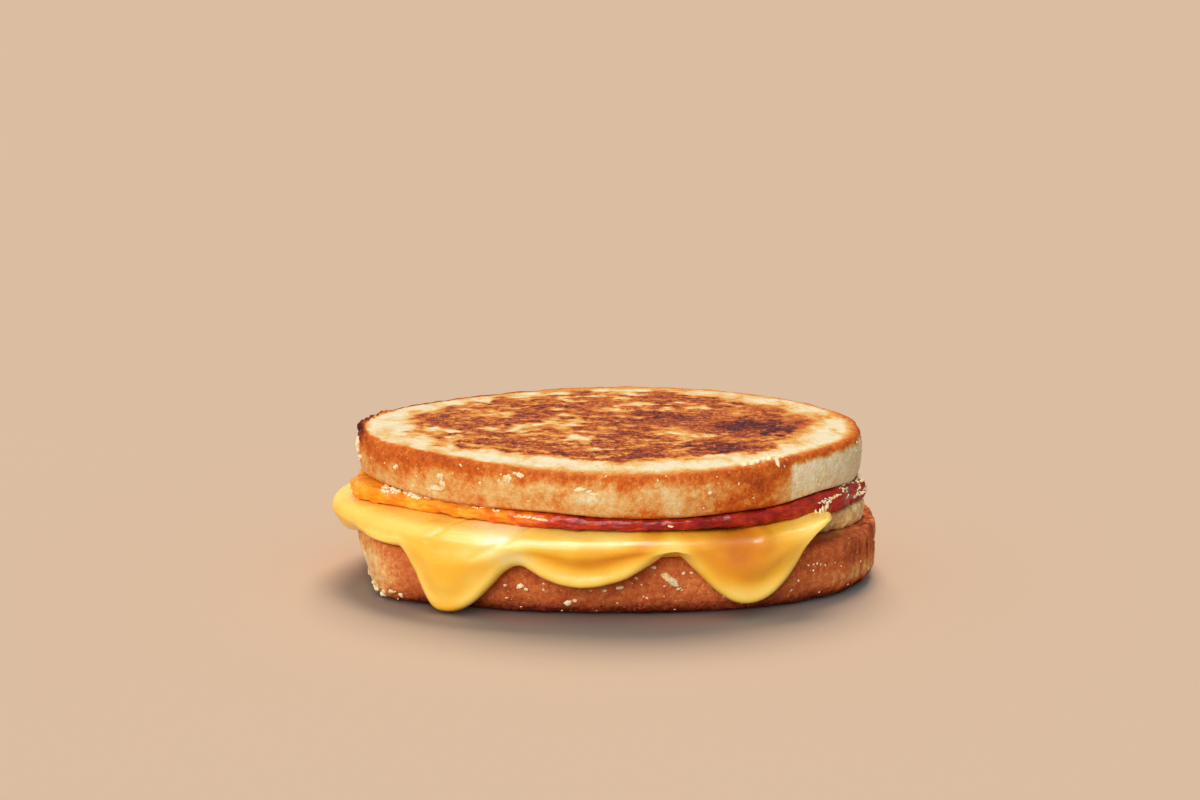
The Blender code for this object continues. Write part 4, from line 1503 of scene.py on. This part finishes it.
class LumpPiece:
    """Many small lumps joined in one piece."""

    def __init__(self, name: str, seed: int) -> None:
        """Start an empty piece."""
        self.name = name
        self.mesh = bmesh.new()
        self.draw = random.Random(seed)

    def add(self, body: TurnedBody, lump: Lump, fineness: int = 2) -> None:
        """Add a lump, half sunk in a body's side.

        Args:
            body: What it sits on.
            lump: Where it sits, and its size.
            fineness: How often its ball is divided.
        """
        place, normal = body.near(lump.angle, lump.level)
        made = bmesh.ops.create_icosphere(self.mesh, subdivisions=fineness, radius=0.5)
        seed = Vector((self.draw.random(), self.draw.random(), self.draw.random())) * 50.0
        for vertex in made["verts"]:
            vertex.co *= 1.0 + 0.5 * noise.noise(vertex.co * 2.6 + seed)
        facing = Vector(normal).to_track_quat("Z", "Y").to_matrix().to_4x4()
        middle = Vector((place + SHIFT + normal * lump.lift) * MM)
        matrix = (
            Matrix.Translation(middle) @ facing @ Matrix.Rotation(math.radians(lump.turn), 4, "Z")
            @ Matrix.Diagonal((*(part * MM for part in lump.size), 1.0))
        )
        bmesh.ops.transform(self.mesh, matrix=matrix, verts=made["verts"])

    def scatter(
        self, body: TurnedBody, count: int, angles: tuple[float, float],
        levels: tuple[float, float], sizes: tuple[float, float],
    ) -> None:
        """Scatter lumps over a stretch of a body's side.

        Args:
            body: What they sit on.
            count: How many.
            angles: The stretch's plan angles in degrees.
            levels: Its heights in millimetres.
            sizes: The smallest and the largest size in millimetres.
        """
        for _ in range(count):
            size = self.draw.uniform(*sizes)
            shape = (
                size * self.draw.uniform(0.8, 1.6), size * self.draw.uniform(0.6, 1.1),
                size * self.draw.uniform(0.5, 0.9),
            )
            self.add(body, Lump(
                self.draw.uniform(*angles), self.draw.uniform(*levels), shape,
                self.draw.uniform(0.0, 180.0),
            ))

    def string(
        self, body: TurnedBody, start: tuple[float, float], end: tuple[float, float],
        sizes: tuple[float, float], spread: float, spacing: float, lift: float = 0.0,
    ) -> None:
        """Add beads along a line on a body's side.

        Args:
            body: What they sit on.
            start: Plan angle and height of the line's start.
            end: Plan angle and height of its end.
            sizes: The smallest and the largest bead in millimetres.
            spread: How far beads stray up or down from the line.
            spacing: The distance between beads, in degrees.
            lift: How far the beads' middles stand off the side.
        """
        count = max(2, round(abs(end[0] - start[0]) / spacing))
        for index in range(count):
            share = (index + self.draw.uniform(0.2, 0.8)) / count
            size = blend(*sizes, self.draw.random() ** 1.6)
            self.add(body, Lump(
                blend(start[0], end[0], share),
                blend(start[1], end[1], share) + self.draw.uniform(-spread, spread),
                (size * self.draw.uniform(1.0, 2.0), size, size * 0.8), self.draw.uniform(-30.0, 30.0), lift,
            ))

    def build(self, finish: bpy.types.Material, slot: Slot) -> bpy.types.Object:
        """Finish the piece, with nothing below the floor."""
        for vertex in self.mesh.verts:
            vertex.co.z = max(vertex.co.z, 0.0)
        bmesh.ops.recalc_face_normals(self.mesh, faces=self.mesh.faces)
        return add_piece(self.name, self.mesh, finish, slot)


TOP_FLAKES = (
    Lump(-133.0, 36.4, (1.8, 4.6, 0.9), -4.0), Lump(-135.4, 34.4, (4.0, 2.0, 0.6), 6.0),
    Lump(-137.6, 33.4, (2.4, 1.4, 0.5), -12.0), Lump(-133.6, 38.4, (2.2, 1.3, 0.8), 8.0),
    Lump(-114.7, 40.2, (2.6, 2.6, 1.0), 20.0), Lump(-111.4, 41.6, (2.4, 1.4, 0.9), -15.0),
    Lump(-112.8, 41.9, (1.1, 0.9, 0.8)), Lump(-116.6, 39.6, (1.0, 0.8, 0.8), 30.0),
    Lump(-97.4, 38.9, (3.4, 1.1, 0.5), 8.0), Lump(-94.2, 37.5, (2.6, 1.2, 0.5), -14.0),
    Lump(-95.6, 38.2, (1.6, 0.9, 0.6), 24.0), Lump(-68.8, 37.4, (1.4, 1.1, 0.9)),
    Lump(-149.4, 38.5, (1.7, 1.4, 1.0), 30.0), Lump(-172.7, 40.2, (2.2, 4.4, 2.4), 10.0),
    Lump(-170.0, 37.2, (1.6, 2.0, 1.8), -10.0), Lump(-122.0, 38.2, (1.0, 0.8, 0.7)),
)
TORN_RIM = (
    Lump(-59.4, 45.5, (2.8, 2.4, 1.3), 10.0), Lump(-57.2, 45.5, (1.9, 2.8, 1.2), -20.0),
    Lump(-55.4, 45.5, (2.6, 2.0, 1.5), 30.0), Lump(-53.6, 45.5, (2.0, 1.8, 1.4), 0.0),
    Lump(-52.0, 44.4, (2.0, 2.2, 1.4), 50.0), Lump(-50.4, 45.5, (2.8, 1.8, 1.5), -12.0),
    Lump(-48.4, 44.6, (1.8, 1.7, 1.2), 20.0), Lump(-50.8, 43.4, (1.2, 2.6, 1.0), 12.0),
)
BOTTOM_FLAKES = (
    Lump(-81.6, 12.2, (3.0, 2.1, 1.5), -32.0), Lump(-80.2, 10.9, (5.4, 2.0, 1.6), -34.0),
    Lump(-97.5, 4.2, (2.6, 1.6, 1.2), 15.0), Lump(-96.2, 4.9, (1.4, 1.1, 1.0)),
    Lump(-107.0, 8.7, (2.2, 1.4, 1.0), 18.0), Lump(-105.8, 7.9, (1.2, 1.0, 0.8)),
    Lump(-99.4, 11.6, (1.5, 1.3, 1.0), 40.0), Lump(-89.4, 8.7, (2.2, 1.0, 0.9), 12.0),
    Lump(-91.2, 8.1, (1.3, 0.8, 0.8)), Lump(-83.7, 14.9, (1.6, 1.0, 0.9)),
    Lump(-90.5, 15.6, (1.2, 0.9, 0.8)), Lump(-78.0, 12.9, (1.2, 0.9, 0.8), 20.0),
    Lump(-76.4, 13.1, (1.1, 0.7, 0.7)), Lump(-79.0, 8.4, (1.3, 0.9, 0.7)),
    Lump(-110.5, 9.0, (1.0, 0.9, 0.8)), Lump(-52.5, 14.6, (1.1, 1.0, 0.8)),
)


# The first two are pale cheese smears on the seam that also stand for a soft painted highlight there.
SMEARS = (
    Lump(-77.8, 28.0, (1.8, 0.7, 0.5), -10.0), Lump(-105.8, 29.2, (3.0, 0.8, 0.8), -8.0),
    Lump(-144.0, 31.0, (3.8, 1.4, 1.0), 0.0), Lump(-149.5, 31.4, (3.4, 1.6, 1.0), 6.0),
    Lump(-37.4, 25.6, (0.9, 3.6, 0.9), 10.0, 0.7), Lump(-36.4, 25.9, (0.7, 4.2, 0.8), 0.0, 0.8),
    Lump(-35.4, 26.1, (1.0, 3.8, 0.9), -8.0, 0.7), Lump(-34.2, 26.6, (0.7, 3.0, 0.8), -20.0, 0.5),
    Lump(-36.2, 24.6, (4.2, 1.2, 1.2), 12.0, 0.6), Lump(-33.0, 27.6, (0.7, 2.6, 0.8), 18.0, 0.3),
)


@dataclass
class Trimmings:
    """Crumbs, flakes, torn rim and froth that sit on the finished layers."""

    top: TopSlice
    bottom: BottomSlice
    tomato: TomatoLayer

    def top_crumbs(self, finish: bpy.types.Material) -> bpy.types.Object:
        """Flakes on the upper slice's side and its torn rim."""
        piece = LumpPiece("top_slice_crumbs", 11)
        for lump in (*TOP_FLAKES, *TORN_RIM):
            piece.add(self.top.body, lump, 3)
        piece.scatter(self.top.body, 26, (-165.0, -48.0), (32.0, 43.5), (0.35, 0.75))
        piece.scatter(self.top.body, 50, (-40.0, 190.0), (32.0, 43.5), (0.35, 0.9))
        return piece.build(finish, Slot.TOP)

    def bottom_crumbs(self, finish: bpy.types.Material) -> bpy.types.Object:
        """Flakes on the lower slice's side and ragged crumbs at its blunt end."""
        piece = LumpPiece("bottom_slice_crumbs", 12)
        for lump in BOTTOM_FLAKES:
            piece.add(self.bottom.body, lump, 3)
        piece.scatter(self.bottom.body, 48, (-112.0, -34.0), (0.8, 14.5), (0.3, 0.75))
        piece.scatter(self.bottom.body, 40, (-168.0, -138.0), (0.9, 3.4), (0.6, 1.7))
        piece.scatter(self.bottom.body, 70, (-30.0, 170.0), (0.8, 14.5), (0.35, 0.9))
        return piece.build(finish, Slot.BOTTOM)

    def froth(self, finish: bpy.types.Material) -> bpy.types.Object:
        """Froth along the seam under the upper slice and lace at the right end."""
        piece = LumpPiece("melted_cheese_froth", 13)
        body = self.tomato.body
        for start, end, sizes, spread in (
            ((-157.0, 31.6), (-139.0, 30.9), (0.6, 1.8), 0.5),
            ((-155.0, 30.9), (-141.0, 30.3), (0.5, 1.4), 0.5),
            ((-139.0, 31.0), (-117.0, 30.1), (0.4, 0.7), 0.08),
            ((-113.0, 29.6), (-105.0, 29.0), (0.4, 0.8), 0.25),
            ((-36.0, 28.6), (-27.0, 30.0), (0.4, 0.8), 0.5),
            ((-26.0, 30.6), (-14.0, 31.2), (0.4, 0.9), 0.5),
            ((-34.0, 26.8), (-30.0, 29.4), (0.4, 0.7), 0.3),
            ((-24.0, 27.4), (-21.0, 31.0), (0.4, 0.7), 0.3),
            ((-16.0, 26.4), (-8.0, 27.2), (0.5, 1.0), 0.4),
            ((-14.0, 27.0), (-10.0, 31.0), (0.5, 1.1), 0.4),
            ((-10.0, 30.0), (4.0, 31.4), (0.7, 1.5), 0.8),
            ((-8.0, 27.4), (4.0, 28.6), (0.6, 1.3), 0.9),
        ):
            piece.string(body, start, end, sizes, spread, 0.42, 0.0)
        for lump in SMEARS:
            piece.add(body, lump, 3)
        return piece.build(finish, Slot.CHEESE)

    def build(
        self, crumbs: bpy.types.Material, froth: bpy.types.Material
    ) -> list[bpy.types.Object]:
        """Build all the trimmings."""
        return [self.top_crumbs(crumbs), self.bottom_crumbs(crumbs), self.froth(froth)]


# ---------------------------------------------------------------- studio


@dataclass
class Studio:
    """A plain pale floor, soft lights and the camera. Light is given as shares of white."""

    floor_radius: float = 5.0
    sky: tuple[float, float, float] = (0.25, 0.38, 0.5)
    back_light: tuple[float, float, float] = (176.0, 57.0, 1.0)
    key_light: tuple[float, float, float] = (-26.0, 32.0, 0.44)
    lip_light: tuple[float, float, float] = (-14.0, 68.0, 1.1)
    camera_place: tuple[float, float, float] = (0.000676, -0.819251, 0.25679)
    camera_aim: tuple[float, float, float] = (-0.001124, -0.002181, 0.0535)
    lens: float = 85.0

    def lay_floor(self) -> None:
        """Lay the floor that the sandwich stands on."""
        mesh = bmesh.new()
        bmesh.ops.create_circle(mesh, cap_ends=True, segments=96, radius=self.floor_radius)
        bmesh.ops.recalc_face_normals(mesh, faces=mesh.faces)
        data = bpy.data.meshes.new("floor")
        mesh.to_mesh(data)
        mesh.free()
        data.materials.append(FloorFinish().material())
        floor = bpy.data.objects.new("floor", data)
        bpy.context.scene.collection.objects.link(floor)

    def hang_light(
        self, name: str, light: tuple[float, float, float], softness: float,
        colour: tuple[float, float, float] = (1.0, 1.0, 1.0),
    ) -> bpy.types.Object:
        """Hang a distant soft light.

        Args:
            name: Its name.
            light: Its azimuth from the front and its elevation in degrees, and the share of
                white that it gives the floor.
            softness: How wide it looks from the floor, in degrees.
            colour: Its colour.

        Returns:
            The lamp.
        """
        azimuth, elevation, share = light
        data = bpy.data.lights.new(name, "SUN")
        data.angle = math.radians(softness)
        data.energy = share * math.pi / math.sin(math.radians(elevation))
        data.color = colour
        lamp = bpy.data.objects.new(name, data)
        turn, lift = math.radians(azimuth), math.radians(elevation)
        towards = Vector((
            math.sin(turn) * math.cos(lift), -math.cos(turn) * math.cos(lift), math.sin(lift),
        ))
        lamp.rotation_euler = towards.to_track_quat("Z", "Y").to_euler()
        bpy.context.scene.collection.objects.link(lamp)
        return lamp

    def build(self, pieces: Sequence[bpy.types.Object]) -> None:
        """Set up the floor, the lights, the sky and the camera.

        Args:
            pieces: What the front lights shine on. The floor doesn't get them, so that the
                sandwich's shadow stays soft and dark in front of it.
        """
        self.lay_floor()
        warm = tuple(1.0 - part for part in self.sky)
        self.hang_light("back_light", self.back_light, 34.0, warm)
        food = bpy.data.collections.new("food")
        for piece in pieces:
            food.objects.link(piece)
        key = self.hang_light("key_light", self.key_light, 42.0, (1.0, 0.97, 0.92))
        lip = self.hang_light("lip_light", self.lip_light, 38.0)
        lip.visible_diffuse = False
        for lamp in (key, lip):
            lamp.light_linking.receiver_collection = food
        world = bpy.data.worlds.new("studio_sky")
        world.use_nodes = True
        sky = world.node_tree.nodes["Background"]
        sky.inputs["Color"].default_value = (*self.sky, 1.0)
        scene = bpy.context.scene
        scene.world = world
        scene.view_settings.view_transform = "Standard"
        data = bpy.data.cameras.new("camera")
        data.lens = self.lens
        data.clip_start = 0.02
        camera = bpy.data.objects.new("camera", data)
        camera.location = self.camera_place
        aim = Vector(self.camera_aim) - Vector(self.camera_place)
        camera.rotation_euler = aim.to_track_quat("-Z", "Y").to_euler()
        scene.collection.objects.link(camera)
        scene.camera = camera


# ---------------------------------------------------------------- assembly


def report(piece: bpy.types.Object) -> None:
    """Log a finished piece."""
    log.info("%s: %d faces", piece.name, len(piece.data.polygons))


def main() -> None:
    """Build the layers from the bottom up, then the studio."""
    logging.basicConfig(level=logging.INFO, format="%(name)s: %(message)s")
    shared = SharedEffects()
    toast_top = ToastFinish("top_toast_finish", side_light=1.11).material(shared)
    toast_bottom = ToastFinish("bottom_toast_finish", BOTTOM_CRUST_STOPS).material(shared)
    bottom, middle, cheese = BottomSlice(), MiddleLayer(), MeltedCheese()
    tomato, top = TomatoLayer(), TopSlice()
    pieces = [
        bottom.build(toast_bottom),
        middle.build(PaleFinish().material(shared)),
        cheese.build(CheeseFinish().material(shared), bottom, middle),
        tomato.build(TomatoFinish().material(shared), cheese),
        top.build(toast_top),
        *Trimmings(top, bottom, tomato).build(CrumbFinish().material(shared), FrothFinish().material()),
    ]
    for piece in pieces:
        report(piece)
    Studio().build(pieces)


if __name__ == "__main__":
    main()
